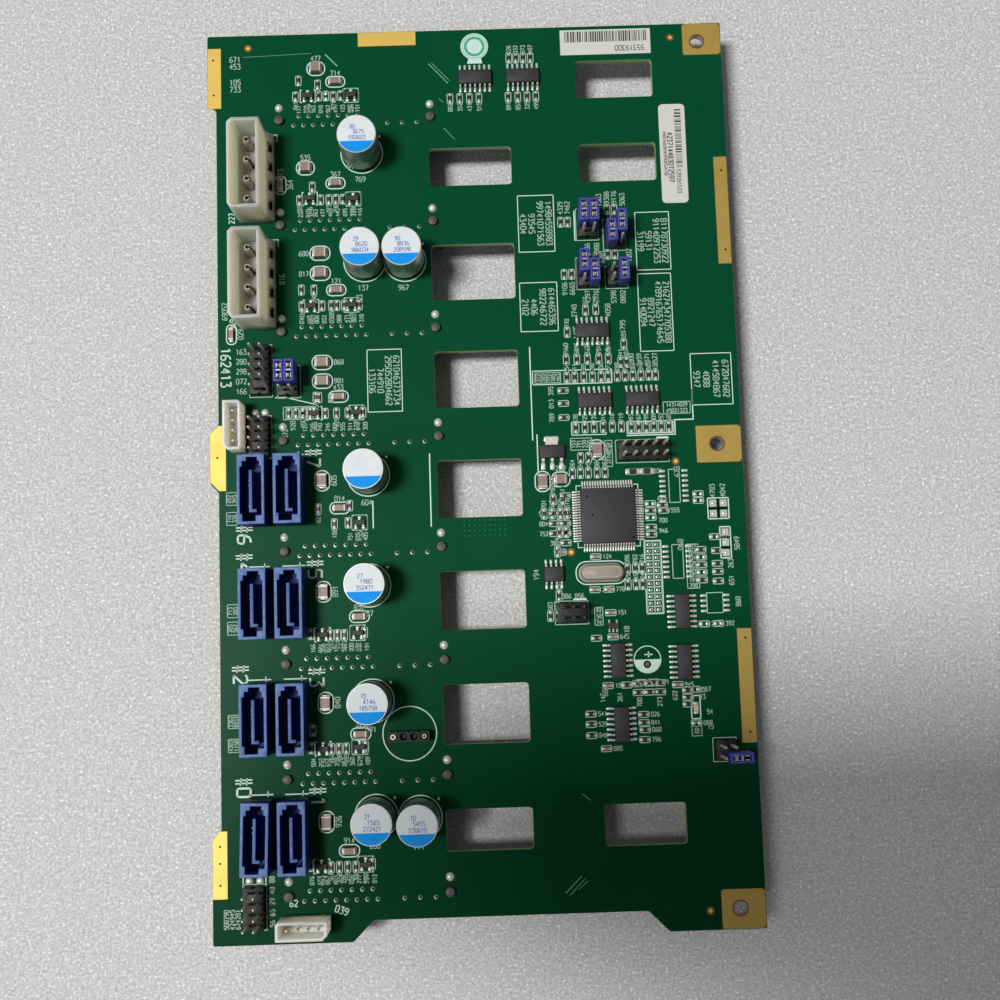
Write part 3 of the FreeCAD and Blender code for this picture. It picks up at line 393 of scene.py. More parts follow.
def lathe(profile, count=24):
    """Closed shape of revolution through (radius, z) corners."""
    turns = [math.tau * step / count for step in range(count)]
    return stack([([(radius * math.cos(turn), radius * math.sin(turn)) for turn in turns], z)
                  for radius, z in profile])


def dome(radius, height, count):
    return lathe([(radius, 0.0), (radius * 0.92, height * 0.35), (radius * 0.7, height * 0.7),
                  (radius * 0.35, height * 0.94), (radius * 0.05, height)], count)


def band(points):
    """Closed band through sections of four points each, round a hole."""
    faces = []
    for a in range(0, len(points), 4):
        b = (a + 4) % len(points)
        faces += [(a + 1, a + 3, b + 3, b + 1), (a, b, b + 2, a + 2), (a, a + 1, b + 1, b),
                  (a + 2, b + 2, b + 3, a + 3)]
    return points, faces


def ring(x, y, inner, outer, count=32, low=0.0, high=PAD_RISE):
    """A flat ring or a tube."""
    turns = [math.tau * step / count for step in range(count)]
    return band([(x + radius * math.cos(turn), y + radius * math.sin(turn), z)
                 for turn in turns for radius in (inner, outer) for z in (low, high)])


def offset_path(path, distance):
    """The path moved sideways by distance, with mitred corners."""
    moved = []
    for index, point in enumerate(path):
        before = path[max(index - 1, 0)]
        after = path[min(index + 1, len(path) - 1)]
        first = Vector((point[0] - before[0], point[1] - before[1])) if index else None
        second = Vector((after[0] - point[0], after[1] - point[1])) if index < len(path) - 1 else None
        first = (first or second).normalized()
        second = (second or first).normalized()
        normal = Vector((-first.y - second.y, first.x + second.x)).normalized()
        spare = max(normal.dot(Vector((-first.y, first.x))), 0.35)
        moved.append((point[0] + normal.x * distance / spare, point[1] + normal.y * distance / spare))
    return moved


def ribbon(path, width):
    """Outline of a flat line of the given width along a path."""
    return offset_path(path, width / 2)[::-1] + offset_path(path, -width / 2)


def bent_strip(path, width, thickness, turn):
    """A strip bent along (y, z) points, width wide along X, then turned about zero."""
    outline = ribbon(path, thickness)
    count = len(outline)
    points = [(*turned(x, y, turn), z) for x in (-width / 2, width / 2) for y, z in outline]
    faces = [tuple(range(count)), tuple(reversed(range(count, 2 * count)))]
    faces += [(step, step + count, (step + 1) % count + count, (step + 1) % count) for step in range(count)]
    return points, faces


def pillow(length, width, height):
    """Low pillow of solder on a pad."""
    corners = rectangle(length, width, min(length, width) * 0.22)
    return stack([([(a * share, b * share) for a, b in corners], height * level)
                  for share, level in ((1.0, 0.0), (1.0, 0.25), (0.72, 0.8), (0.35, 1.0))])


class Shape:
    """The points, faces and finishes of one piece."""

    def __init__(self):
        self.points, self.faces, self.slots, self.finishes = [], [], [], []

    def add(self, solid, material, x=0.0, y=0.0, z=0.0, turn=0.0):
        points, faces = solid
        if material not in self.finishes:
            self.finishes.append(material)
        slot, base = self.finishes.index(material), len(self.points)
        cos, sin = math.cos(math.radians(turn)), math.sin(math.radians(turn))
        self.points += [(x + cos * a - sin * b, y + sin * a + cos * b, z + c) for a, b, c in points]
        self.faces += [tuple(base + corner for corner in face) for face in faces]
        self.slots += [slot] * len(faces)

    def flat(self, outline, material, x=0.0, y=0.0, z=None, turn=0.0, rise=PAD_RISE):
        """A thin layer on the board's component side."""
        self.add(prism(outline, rise), material, x, y, TOP if z is None else z, turn)


def to_object(name, mesh, replaces, sharp=32):
    """A smooth-sided piece, with its edges kept where they turn by more than sharp degrees."""
    mesh.shade_smooth()
    mesh.set_sharp_from_angle(angle=math.radians(sharp))
    piece = bpy.data.objects.new(name, mesh)
    bpy.context.scene.collection.objects.link(piece)
    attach(piece, "root")
    if replaces:
        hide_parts(*replaces)


def make(name, shape, replaces=()):
    mesh = bpy.data.meshes.new(name)
    mesh.from_pydata([(x * MM, y * MM, z * MM) for x, y, z in shape.points], [], shape.faces)
    for material in shape.finishes:
        mesh.materials.append(material)
    mesh.polygons.foreach_set("material_index", shape.slots)
    mesh.validate()
    to_object(name, mesh, replaces)


def softened(node, material, width, segments=2):
    """A piece in a CAD node's form, with its sharp edges rounded."""
    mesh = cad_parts[node].data.copy()
    mesh.name = node + "_finished"
    mesh.materials.clear()
    mesh.materials.append(material)
    work = bmesh.new()
    work.from_mesh(mesh)
    bmesh.ops.remove_doubles(work, verts=work.verts, dist=1e-6)
    bmesh.ops.dissolve_limit(work, angle_limit=math.radians(1), verts=work.verts, edges=work.edges)
    sharp = [edge for edge in work.edges
             if len(edge.link_faces) == 2 and edge.calc_face_angle(0.0) > math.radians(30)]
    bmesh.ops.bevel(work, geom=sharp, offset=width * MM, segments=segments, profile=0.5, affect="EDGES",
                    clamp_overlap=True)
    work.to_mesh(mesh)
    work.free()
    to_object(node + "_finished", mesh, (node,), 40)


def dress(node, material):
    """A CAD node that stays as it is, in a new finish."""
    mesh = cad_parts[node].data
    mesh.materials.clear()
    mesh.materials.append(material)


# ---------------------------------------------------------------- legend
DIGITS = {
    "0": [(0.15, 0), (0.85, 0), (1, 0.3), (1, 1.7), (0.85, 2), (0.15, 2), (0, 1.7), (0, 0.3), (0.15, 0)],
    "1": [(0.15, 1.6), (0.55, 2), (0.55, 0)],
    "2": [(0, 1.7), (0.2, 2), (0.8, 2), (1, 1.7), (1, 1.3), (0, 0), (1, 0)],
    "3": [(0, 2), (1, 2), (0.45, 1.15), (0.9, 1), (1, 0.3), (0.8, 0), (0, 0)],
    "4": [(0.75, 0), (0.75, 2), (0, 0.6), (1, 0.6)],
    "5": [(1, 2), (0.1, 2), (0, 1.15), (0.8, 1.15), (1, 0.9), (1, 0.3), (0.8, 0), (0, 0)],
    "6": [(0.9, 2), (0.3, 1.8), (0, 1), (0, 0.2), (0.2, 0), (0.8, 0), (1, 0.3), (1, 0.9), (0, 1)],
    "7": [(0, 2), (1, 2), (0.35, 0)],
    "8": [(0.2, 1), (0, 1.3), (0, 1.8), (0.2, 2), (0.8, 2), (1, 1.8), (1, 1.3), (0.8, 1), (0.2, 1),
          (0, 0.7), (0, 0.2), (0.2, 0), (0.8, 0), (1, 0.2), (1, 0.7), (0.8, 1)],
    "9": [(0.1, 0), (0.7, 0.2), (1, 1), (1, 1.8), (0.8, 2), (0.2, 2), (0, 1.7), (0, 1.1), (1, 1)],
}
SMALL_PRINT = 1.35              # numbers lower than this are printed paler
THIN_LINE = 0.2                 # and so are closed lines up to this width
LEGEND, BARE_PADS, SMALL = Shape(), Shape(), Shape()


def write(shape, text, x, y, height, turn=0.0, weight=0.16, material=None, z=None, rise=SILK_RISE, broad=0.5):
    """Numbers centred on x and y."""
    material = material or (SILK_SOFT if height < SMALL_PRINT else SILK)
    step = height * (broad + 0.22)
    start = -step * (len(text) - 1) / 2
    for index, digit in enumerate(text):
        path = []
        for across, above in DIGITS[digit]:
            a, b = turned(start + index * step + (across - 0.5) * height * broad,
                          (above - 1) * height / 2, turn)
            path.append((x + a, y + b))
        for first, second in zip(path, path[1:]):
            shape.flat(ribbon([first, second], weight), material, z=z, rise=rise)


def plain_number(count):
    return "".join(random.choice("0123456789") for _ in range(count))


def number(count, x, y, height, turn=0, weight=0.2, material=None):
    """A plain number of the legend."""
    write(LEGEND, plain_number(count), x, y, height, turn, weight, material)


def marks(places, turn=90, size=1.1, count=3, weight=0.19, material=None):
    """Plain numbers at places given from the board's left and lower edges."""
    for x, y in places:
        number(count, *at(x, y), size, turn, weight, material)


def line(path, width, material=SILK):
    LEGEND.flat(ribbon(path, width), material, rise=SILK_RISE)


def closed_line(shape, outline, width, x=0.0, y=0.0, turn=0.0, material=None, z=None):
    """A line round an outline, made of short straight pieces."""
    material = material or (SILK_SOFT if width <= THIN_LINE else SILK)
    for first, second in zip(outline, outline[1:] + outline[:1]):
        shape.flat(ribbon([first, second], width), material, x, y, z, turn, SILK_RISE)


def frame_line(x0, y0, x1, y1, width=THIN_LINE):
    closed_line(LEGEND, rectangle(x1 - x0, y1 - y0), width, (x0 + x1) / 2, (y0 + y1) / 2)


def frame_at(x0, y0, x1, y1, width):
    frame_line(*at(x0, y0), *at(x1, y1), width)


# ---------------------------------------------------------------- board
EDGE_ROUND = 0.14
OPENING_ROUND = 0.9
MIDDLE_OPENING = (57.0, 78.2)
SIDE_OPENING = (95.7, 115.6)
OPENING_ABOVE_BAY = 14.4
SCREW_INSET, SCREW_RADIUS = 6.3, 1.8
SCREWS = [(RIGHT - SCREW_INSET, BACK - 5.0), (RIGHT - SCREW_INSET, bay(3, -4.0)),
          (RIGHT - SCREW_INSET, FRONT + 5.0)]
PEG_SIDES = [LEFT + 38.05 + side * 39.1 / 2 for side in (-1, 1)]
GOLD_PADS = [                   # corners from the board's left and lower edges, and the screw hole inside
    ([(0.1, 210.4), (3.5, 210.4), (3.5, 226.6), (0.1, 226.6)], None),
    ([(39.3, 226.2), (54.3, 226.2), (54.3, 229.9), (39.3, 229.9)], None),
    ([(0.1, 112.9), (2.3, 110.6), (4.0, 110.6), (4.0, 127.1), (2.3, 127.1), (0.1, 125.0)], None),
    ([(0.1, 11.1), (3.6, 11.1), (3.6, 27.1), (1.8, 27.1), (0.1, 25.0)], None),
    ([(124.0, 221.4), (133.8, 221.4), (133.8, 229.8), (124.0, 229.8)], SCREWS[0]),
    ([(130.5, 165.3), (133.8, 165.3), (133.8, 193.6), (130.5, 193.6)], None),
    ([(122.5, 114.1), (133.8, 114.1), (133.8, 123.4), (122.5, 123.4)], SCREWS[1]),
    ([(130.3, 44.4), (133.8, 44.4), (133.8, 72.3), (130.3, 72.3)], None),
    ([(123.2, 0.2), (133.8, 0.2), (133.8, 9.5), (123.2, 9.5)], SCREWS[2]),
]


def eased(corners, radius, steps=4):
    """An outline with its corners rounded."""
    path, count = [], len(corners)
    for index in range(count):
        here = Vector(corners[index])
        into = Vector(corners[index - 1]) - here
        out = Vector(corners[(index + 1) % count]) - here
        start = here + into.normalized() * min(radius, into.length * 0.4)
        end = here + out.normalized() * min(radius, out.length * 0.4)
        for step in range(steps + 1):
            share = step / steps
            path.append(tuple(start * (1 - share) ** 2 + here * 2 * share * (1 - share) + end * share ** 2))
    return path


def board_outline():
    tab, cut, notch = LEFT + 2.2, 2.4, 5.0
    middle_tab = bay(3, -4.2)
    return [(LEFT, FRONT), (LEFT, FRONT + 24.9), (tab, FRONT + 24.9 + cut), (tab, middle_tab - 6.1 - cut),
            (LEFT, middle_tab - 6.1), (LEFT, middle_tab + 6.1), (tab, middle_tab + 6.1 + cut),
            (tab, BACK - 17.9 - cut), (LEFT, BACK - 17.9), (LEFT, BACK), (RIGHT, BACK), (RIGHT, FRONT),
            (RIGHT - 23.6, FRONT), (RIGHT - 23.6 - notch, FRONT + notch),
            (LEFT + 33.9 + notch, FRONT + notch), (LEFT + 33.9, FRONT)]


def air_openings():
    """The openings' sides from the board's left edge, their middles along it and their heights."""
    tall, low = 14.5, 10.0
    short_ones = (1, BAY_COUNT - 1)
    middle_ones = [(MIDDLE_OPENING, bay(index, OPENING_ABOVE_BAY), low if index in short_ones else tall)
                   for index in range(1, BAY_COUNT)]
    return middle_ones + [(SIDE_OPENING, y, low)
                          for y in (bay(0, 9.0), bay(1, OPENING_ABOVE_BAY), bay(7, OPENING_ABOVE_BAY))]


def circuit_board():
    """The board as one plate with rounded openings, drilled holes and slightly rounded edges."""
    outlines = [eased(board_outline(), 0.5)]
    for (start, end), y, tall in air_openings():
        x = LEFT + (start + end) / 2
        outlines.append([(x + a, y + b) for a, b in rounded(end - start, tall, OPENING_ROUND)])
    outlines += [arc(x, y, SCREW_RADIUS, 0, 352.5, 47) for x, y in SCREWS]
    outlines += [arc(x, row, 1.22, 0, 345, 23) for row in BAY_ROWS for x in PEG_SIDES]
    curve = bpy.data.curves.new("board_outline", "CURVE")
    curve.dimensions = "2D"
    curve.fill_mode = "BOTH"
    for outline in outlines:
        spline = curve.splines.new("POLY")
        spline.points.add(len(outline) - 1)
        for point, (x, y) in zip(spline.points, outline):
            point.co = (x * MM, y * MM, 0.0, 1.0)
        spline.use_cyclic_u = True
    curve.extrude = ((TOP - UNDER) / 2 - EDGE_ROUND) * MM
    curve.bevel_depth = EDGE_ROUND * MM
    curve.bevel_resolution = 1
    curve.offset = -EDGE_ROUND * MM
    carrier = bpy.data.objects.new("board_outline", curve)
    bpy.context.scene.collection.objects.link(carrier)
    bpy.context.view_layer.update()
    mesh = bpy.data.meshes.new_from_object(carrier.evaluated_get(bpy.context.evaluated_depsgraph_get()))
    bpy.data.objects.remove(carrier)
    for vertex in mesh.vertices:
        vertex.co.z += (TOP + UNDER) / 2 * MM
    mesh.materials.clear()
    mesh.materials.append(MASK)
    to_object("board_finished", mesh, ("circuit_board",))


def holed_pad(corners, x, y, radius, count=48):
    """A rectangular pad round a screw hole, as quads between the hole and the edge."""
    sides = [(min(values), max(values)) for values in zip(*corners)]
    points = []
    for step in range(count):
        turn = math.tau * (step + 0.5) / count
        aim = Vector((math.cos(turn), math.sin(turn)))
        reach = min((side[part > 0] - centre) / part if abs(part) > 1e-6 else 1e9
                    for side, centre, part in zip(sides, (x, y), aim))
        points += [(x + aim.x * distance, y + aim.y * distance, z)
                   for distance in (radius, reach) for z in (0.0, PAD_RISE)]
    return band(points)


def gold_areas():
    shape = Shape()
    for corners, screw in GOLD_PADS:
        corners = [at(*corner) for corner in corners]
        if screw:
            shape.add(holed_pad(corners, *screw, 2.0), DULL_GOLD, z=TOP)
            shape.add(ring(*screw, 1.66, 1.79, 40, UNDER + 0.02, TOP + PAD_RISE), TIN)
            shape.add(ring(*screw, 1.66, 2.02, 40), RING_BROWN, z=TOP + 0.008)
        else:
            shape.flat(corners, DULL_GOLD if corners[0][0] > 0 else GOLD)
        closed_line(shape, corners, 0.14, material=RING_BROWN)
    for place in ((10.6, 226.5), (120.8, 226.3), (89.9, 92.5), (117.1, 114.6), (120.4, 4.6)):
        shape.flat(arc(*at(*place), 1.0, 0, 340, 17), RING_BROWN, rise=0.012)
        shape.flat(arc(*at(*place), 0.5, 0, 340, 17), GOLD)
    for place in ((1.9, 23.5), (1.9, 19.5), (1.9, 14.3), (1.5, 223.5), (1.6, 214.0), (1.9, 119.0),
                  (132.4, 190.0), (132.4, 169.0), (132.3, 70.0), (132.3, 47.0)):
        shape.add(lathe([(0.28, 0.0), (0.28, 0.012), (0.16, 0.014)], 10), DARK, *at(*place), TOP + PAD_RISE)
    make("gold_areas", shape)


# ---------------------------------------------------------------- receptacles and ports
def receptacle_tails():
    """Soldered tails of the receptacles' contacts and the solder of their board locks."""
    shape = Shape()
    crescent = arc(-0.04, -0.06, 0.4, 165, 290, 8) + arc(0.06, 0.05, 0.38, 290, 165, 8)
    tails = [(31.1 + step, -1.2) for step in spread(8, PITCH)]
    tails += [(31.2 + step, 1.2) for step in spread(7, PITCH)]
    tails += along((46.5, 50.3, 54.1), -1.2)
    for row in BAY_ROWS:
        for left, above in tails:
            x, y = LEFT + left, row + above
            # Each tail: a dim solder cone, a dark disc beside the pin as painted shade, and a solder crescent
            # on its lower left, partly the fillet and partly a painted highlight.
            shape.add(lathe([(0.6, 0.0), (0.58, 0.04), (0.42, 0.08), (0.36, 0.1)], 12), TAIL_DIM, x, y, TOP)
            shape.add(lathe([(0.33, 0.0), (0.33, 0.012)], 10), TAIL_SHADE, x + 0.06, y + 0.04, TOP + 0.1)
            shape.add(prism(crescent, 0.14), SOLDER, x, y, TOP + 0.05, random.uniform(-25, 25))
        for x in PEG_SIDES:
            shape.add(dome(1.08, 0.82, 20), SOLDER, x, row + 3.5, TOP)
            shape.add(lathe([(0.2, 0.0), (0.2, 0.35), (0.1, 0.4)], 8), SOLDER, x + 0.05, row + 3.5, TOP + 0.6)
    make("receptacle_tails", shape)


def port_contacts():
    """Thin contacts against each tongue, deep in its mouth, and bright tin dots in the even ports as painted
    glints.
    """
    shape = Shape()
    for x, y, low, high in solids("data_port_contacts"):
        shape.add(block(0.14, 0.6, high.z - low.z - 1.6, 0.04), CONTACT, x + 0.07, y, low.z)
    # Bright tin dots beside the tongues of the even ports are painted glints.
    for index in range(0, BAY_COUNT, 2):
        x, y, _, _ = placed("data_port_%d" % index)
        for above in (2.4, 1.2, -3.9):
            shape.add(dome(0.2, 0.2, 8), TIN, x - 0.95, y + above, TOP + 5.2)
    make("port_contacts_finished", shape, ("data_port_contacts",))


# ---------------------------------------------------------------- power header pins
def rolled_pin(height, count=18):
    """Pin rolled from sheet, open along a slit that faces the board's right."""
    slit, sheet = math.radians(46), 0.22
    levels = [(1.05, 0.0), (1.05, height - 1.3), (0.92, height - 0.5), (0.72, height)]
    turns = [slit / 2 + (math.tau - slit) * step / count for step in range(count + 1)]
    points = [(max(radius - wall, 0.12) * math.cos(turn), max(radius - wall, 0.12) * math.sin(turn), z)
              for radius, z in levels for wall in (0.0, sheet) for turn in turns]
    width = count + 1
    faces = []
    for level in range(len(levels) - 1):
        for side in (0, 1):
            low, high = (2 * level + side) * width, (2 * level + 2 + side) * width
            for step in range(count):
                quad = (low + step, low + step + 1, high + step + 1, high + step)
                faces.append(quad[::-1] if side else quad)
        low, high = 2 * level * width, (2 * level + 2) * width
        faces.append((low, high, high + width, low + width))
        low, high = low + count, high + count
        faces.append((low, low + width, high + width, high))
    top = 2 * (len(levels) - 1) * width
    for step in range(count):
        faces.append((top + step, top + step + 1, top + width + step + 1, top + width + step))
        faces.append((step, width + step, width + step + 1, step + 1))
    return points, faces


def power_pins():
    shape = Shape()
    for x, y, low, high in solids("power_pins"):
        shape.add(rolled_pin(high.z - TOP), DULL_PIN, x, y, TOP, random.uniform(-25, 25))
        shape.add(lathe([(0.8, 0.0), (0.8, UNDER - low.z), (0.0001, UNDER - low.z)], 12), TIN, x, y, low.z)
        shape.add(lathe([(0.85, 0.0), (1.3, 0.9), (1.5, 1.05)], 16), SOLDER, x, y, UNDER - 1.05)
    make("power_pins_finished", shape, ("power_pins",))


# ---------------------------------------------------------------- capacitors
TOP_RADIUS = 4.68               # of the printed top
BARE_CAN = 3                    # the one without numbers


def can_marks(shape, x, y, level, index):
    """Blue segment over the can's negative side and three short rows of plain numbers."""
    limit = math.degrees(math.asin(1.85 / TOP_RADIUS))
    shape.add(prism(arc(0, 0, TOP_RADIUS, 180 + limit, 360 - limit, 24), 0.03), CAN_BLUE, x, y, level)
    if index != BARE_CAN:
        for row, left, count, size in ((1.9, -0.9, 2, 1.0), (0.55, 0.5, 4, 1.05), (-0.95, 0.2, 6, 1.0)):
            write(shape, plain_number(count), x + left, y + row, size, 0, 0.2, CAN_INK, level, 0.02)


def capacitors():
    for index in range(BAY_COUNT):
        node = "capacitor_%d" % index
        x, y, low, high = placed(node)
        height = high.z - low.z - 0.04
        crown = low.z + height
        shape = Shape()
        shape.add(lathe([(4.55, 0.0), (4.66, 0.4), (4.62, 0.8), (4.72, 1.1), (4.98, 1.6),
                         (4.98, height - 0.6), (4.9, height - 0.3), (4.72, height - 0.08),
                         (4.6, height)], 64), CAN, x, y, low.z)
        shape.add(lathe([(4.72, 0.0), (4.64, 0.02), (4.5, 0.02)], 64), CAN_TOP, x, y, crown - 0.005)
        can_marks(shape, x, y, crown + 0.01, index)
        # A brighter tin band round the can's lip: the rolled edge, with a painted highlight.
        shape.add(ring(x, y, 4.66, 4.86, 48), TIN, z=crown - 0.12)
        make(node + "_finished", shape, (node,))
    dress("capacitor_seals", SEAL)


# ---------------------------------------------------------------- headers and shunts
def square_pin(height, tip_side, tip_height):
    side, tip = rectangle(PIN_SIDE, PIN_SIDE, 0.08), rectangle(tip_side, tip_side, 0.08)
    return stack([(side, 0.0), (side, height - tip_height), (tip, height)])


def header_pins():
    """Square pins with pointed tips, and the solder of their places under the board."""
    shape = Shape()
    dim_x, dim_y = at(89.5, 77.5)
    for x, y, low, high in solids("header_pins"):
        dim = abs(x - dim_x) < 5 and abs(y - dim_y) < 4
        shape.add(square_pin(high.z - low.z, 0.3, 0.45), DIM_PIN if dim else PIN, x, y, low.z,
                  random.uniform(-3, 3))
        shape.add(dome(0.75, 0.9, 10), SOLDER, x, y, UNDER - 0.9)
    for place in ((11.5, 130.15), (14.0, 130.15), (8.9, 15.15), (11.5, 15.15)):
        shape.add(dome(0.95, 0.5, 18), SOLDER, *at(*place), TOP)
    make("header_pins_finished", shape, ("header_pins",))


def shunt_clips():
    """The bright springs seen in the shunts' wells, either side of each pin."""
    shape = Shape()
    for x, y, low, high in solids("jumper_shunts"):
        order = 1 if high.y - low.y > high.x - low.x else -1
        for step in (-PITCH / 2, PITCH / 2):
            for side in (-0.5, 0.5):
                a, b = (side, step)[::order]
                shape.add(block(*(0.22, 1.2)[::order], 1.5, 0.03), PIN, x + a, y + b, high.z - 1.9)
        # A thin bright bar across the top between the wells: partly the spring's bridge, partly a painted
        # highlight.
        shape.add(block(*(1.2, 0.26)[::order], 0.04, 0.01), PIN, x, y, high.z - 0.01)
    make("shunt_clips", shape)


def service_pins():
    shape = Shape()
    for x, y, low, high in solids("service_header_pins"):
        shape.add(square_pin(high.z - low.z, 0.34, 0.4), PIN, x, y, low.z)
    make("service_pins_finished", shape, ("service_header_pins",))


def socket_strip():
    """Strip with a funnel at each place; the first and the last hold a bright sleeve."""
    x, y, low, high = placed("socket_strip")
    shape = Shape()
    height = high.z - low.z
    for index, step in enumerate(spread(4, PITCH)):
        outer = [(step + a, b) for a, b in rectangle(PITCH, high.y - low.y, 0.35)]
        steps = len(outer)
        mouth = arc(0, 0, 0.98, -112.5, 202.5, steps - 1)
        centre = [(step + a, b) for a, b in mouth]
        inner = [(step + a * 0.55, b * 0.55) for a, b in mouth]
        points = [(a, b, z) for outline, z in ((outer, 0.0), (outer, height - 0.02), (centre, height - 0.02),
                                               (inner, height - 1.4)) for a, b in outline]
        faces = [tuple(reversed(range(steps)))]
        for level in range(3):
            for corner in range(steps):
                after = (corner + 1) % steps
                faces.append((level * steps + corner, level * steps + after,
                              (level + 1) * steps + after, (level + 1) * steps + corner))
        faces.append(tuple(range(3 * steps, 4 * steps)))
        shape.add((points, faces), BLACK, x, y, low.z)
        if index in (0, 3):
            shape.add(ring(x + step, y, 0.32, 0.55 if index else 0.68), PIN, z=high.z - 0.05)
    make("socket_strip_finished", shape, ("socket_strip",))


# ---------------------------------------------------------------- packages and leads
def gull_wing(reach, rise, width, turn, thickness=0.18):
    """Bent lead: out of the package, down, and a flat foot on its pad."""
    path = [(0.25, rise), (-0.28 * reach, rise), (-0.36 * reach, rise - 0.08), (-0.5 * reach, 0.2),
            (-0.58 * reach, thickness / 2 + 0.02), (-reach, thickness / 2 + 0.01)]
    return bent_strip(path, width, thickness, turn)


def lead_row(shape, x, y, count, pitch, body_width, reach, width, rise, turns):
    """Leads and their solder along the sides of a package."""
    for turn in turns:
        for step in spread(count, pitch):
            a, b = turned(step, -body_width / 2, turn)
            shape.add(gull_wing(reach, rise, width, turn), TIN, x + a, y + b, TOP + PAD_RISE)
            a, b = turned(step, -body_width / 2 - reach * 0.98, turn)
            shape.add(pillow(width * 1.4, reach * 0.95, 0.2), SOLDER, x + a, y + b, TOP, turn)


def logic_leads(shape, x, y, count, turn):
    lead_row(shape, x, y, count, CHIP_PITCH, 3.9, 1.2, 0.42, 0.85, (turn, turn + 180))


def packages():
    print_and_dimple_shade, leads = Shape(), Shape()
    for node, edge in (("controller_chip", 0.12), ("memory_chip", 0.1), ("logic_chips", 0.1),
                       ("voltage_regulator", 0.12)):
        softened(node, CHIP, edge)
    x, y, _, high = placed("controller_chip")
    lead_row(leads, x, y, 20, 0.65, 13.9, 1.35, 0.32, 0.85, (0, 90, 180, 270))
    # Dark discs on the controller's top are painted shade in its moulded dimples.
    for a, b, radius in ((-5.2, 4.9, 0.26), (-4.0, 0.2, 0.3), (5.9, -5.6, 0.3)):
        print_and_dimple_shade.add(lathe([(radius, 0.0), (radius * 0.9, PRINT_RISE)], 14), DARK, x + a, y + b, high.z)
    x, y, _, _ = placed("memory_chip")
    logic_leads(leads, x, y, 4, 0)
    x, y, _, _ = placed("voltage_regulator")
    lead_row(leads, x, y, 3, 2.3, 3.5, 1.9, 0.75, 0.9, (0,))
    leads.add(block(3.2, 2.1, 0.3, 0.08), TIN, x, y + 2.75, TOP + PAD_RISE)
    leads.add(pillow(3.7, 1.4, 0.24), SOLDER, x, y + 3.3, TOP)
    for x, y, low, high in solids("logic_chips"):
        turn = 90 if high.y - low.y > high.x - low.x else 0
        logic_leads(leads, x, y, 7, turn)
        for count, above in ((6, 0.5625), (5, -0.5625)):
            a, b = turned(0, above, turn)
            write(print_and_dimple_shade, plain_number(count), x + a, y + b, 0.75, turn, 0.07, CHIP_INK, high.z, PRINT_RISE)
    make("package_leads", leads, ("chip_leads",))
    make("package_marks", print_and_dimple_shade)


def moulded_body(shape, x, y, height, foot, belly, crown):
    """A small moulded package whose widths are given at its foot, its belly and its top."""
    shape.add(stack([(rectangle(2.7, foot, 0.1), 0.0), (rectangle(2.9, belly, 0.1), 0.45),
                     (rectangle(2.66, crown, 0.1), height)]), CHIP, x, y, TOP + 0.06)


def transistors():
    """Three-lead packages of the bays."""
    bodies, leads = Shape(), Shape()
    for x, y, _, _ in solids("transistors"):
        moulded_body(bodies, x, y, 0.93, 1.2, 1.4, 1.16)
        for a, side in ((-0.95, -1), (0.95, -1), (0.0, 1)):
            leads.add(gull_wing(0.7, 0.55, 0.42, 90 + 90 * side, 0.14), TIN, x + a, y + side * 0.7,
                      TOP + PAD_RISE)
            leads.add(pillow(0.85, 0.75, 0.25), SOLDER, x + a, y + side * 1.3, TOP)
    make("transistors_finished", bodies, ("transistors",))
    make("transistor_leads", leads)


def end_capped(shape, x, y, length, width, height, turn, body, cap=0.22):
    """A two-ended chip with metal ends and solder at both."""
    shape.add(block(length * 0.96, width * 0.97, height * 0.97, 0.06), body, x, y, TOP + 0.03, turn)
    for side in (-1, 1):
        a, b = turned(side * length * (0.5 - cap / 2), 0, turn)
        shape.add(block(length * cap, width, height, 0.09), CAP_TIN, x + a, y + b, TOP + 0.03, turn)
        a, b = turned(side * (length / 2 + 0.12), 0, turn)
        shape.add(pillow(0.55, width * 0.98, min(0.4, height * 0.45)), SOLDER, x + a, y + b, TOP, turn)


def chips():
    shape = Shape()
    for x, y, low, high in solids("chip_capacitors"):
        length, width, height = sizes(low, high)
        long, short = max(length, width), min(length, width)
        end_capped(shape, x, y, long, short, height, 90 if width > length else 0, CERAMIC,
                   0.15 if short > 1.4 else 0.2)
    make("chip_capacitors_finished", shape, ("chip_capacitors",))
    shape = Shape()
    for x, y, low, high in solids("chip_resistors"):
        end_capped(shape, x, y, 1.6, 0.8, high.z - low.z, 90, RESISTOR)
    make("chip_resistors_finished", shape, ("chip_resistors",))


def crystal():
    x, y, low, high = placed("timing_crystal")
    length, width, height = sizes(low, high)

    def oval(less, steps=10):
        return rounded(length - less, width - less, (width - less) * 0.49, steps)

    shape = Shape()
    shape.add(stack([(oval(0.0), 0.0), (oval(0.0), 0.4), (oval(0.5), 0.52), (oval(1.0), 0.62),
                     (oval(1.0), height - 0.4), (oval(1.4), height - 0.1), (oval(1.9), height)]),
              CRYSTAL, x, y, low.z)
    closed_line(shape, oval(2.3, 8), 0.16, x, y, material=DULL_PIN, z=high.z - 0.01)
    write(shape, plain_number(5), x + 0.2, y, 0.95, 180, 0.16, DULL_PIN, high.z, PRINT_RISE)
    make("timing_crystal_finished", shape, ("timing_crystal",))


def lamp():
    x, y, _, _ = placed("status_led")
    shape = Shape()
    shape.add(block(1.2, 1.3, 0.75, 0.15), LAMP, x, y, TOP + 0.03)
    for side in (-1, 1):
        shape.add(block(1.2, 0.4, 0.35, 0.08), TIN, x, y + side * 0.8, TOP + 0.03)
        shape.add(pillow(1.2, 0.7, 0.3), SOLDER, x, y + side * 1.15, TOP)
    make("status_led_finished", shape, ("status_led",))


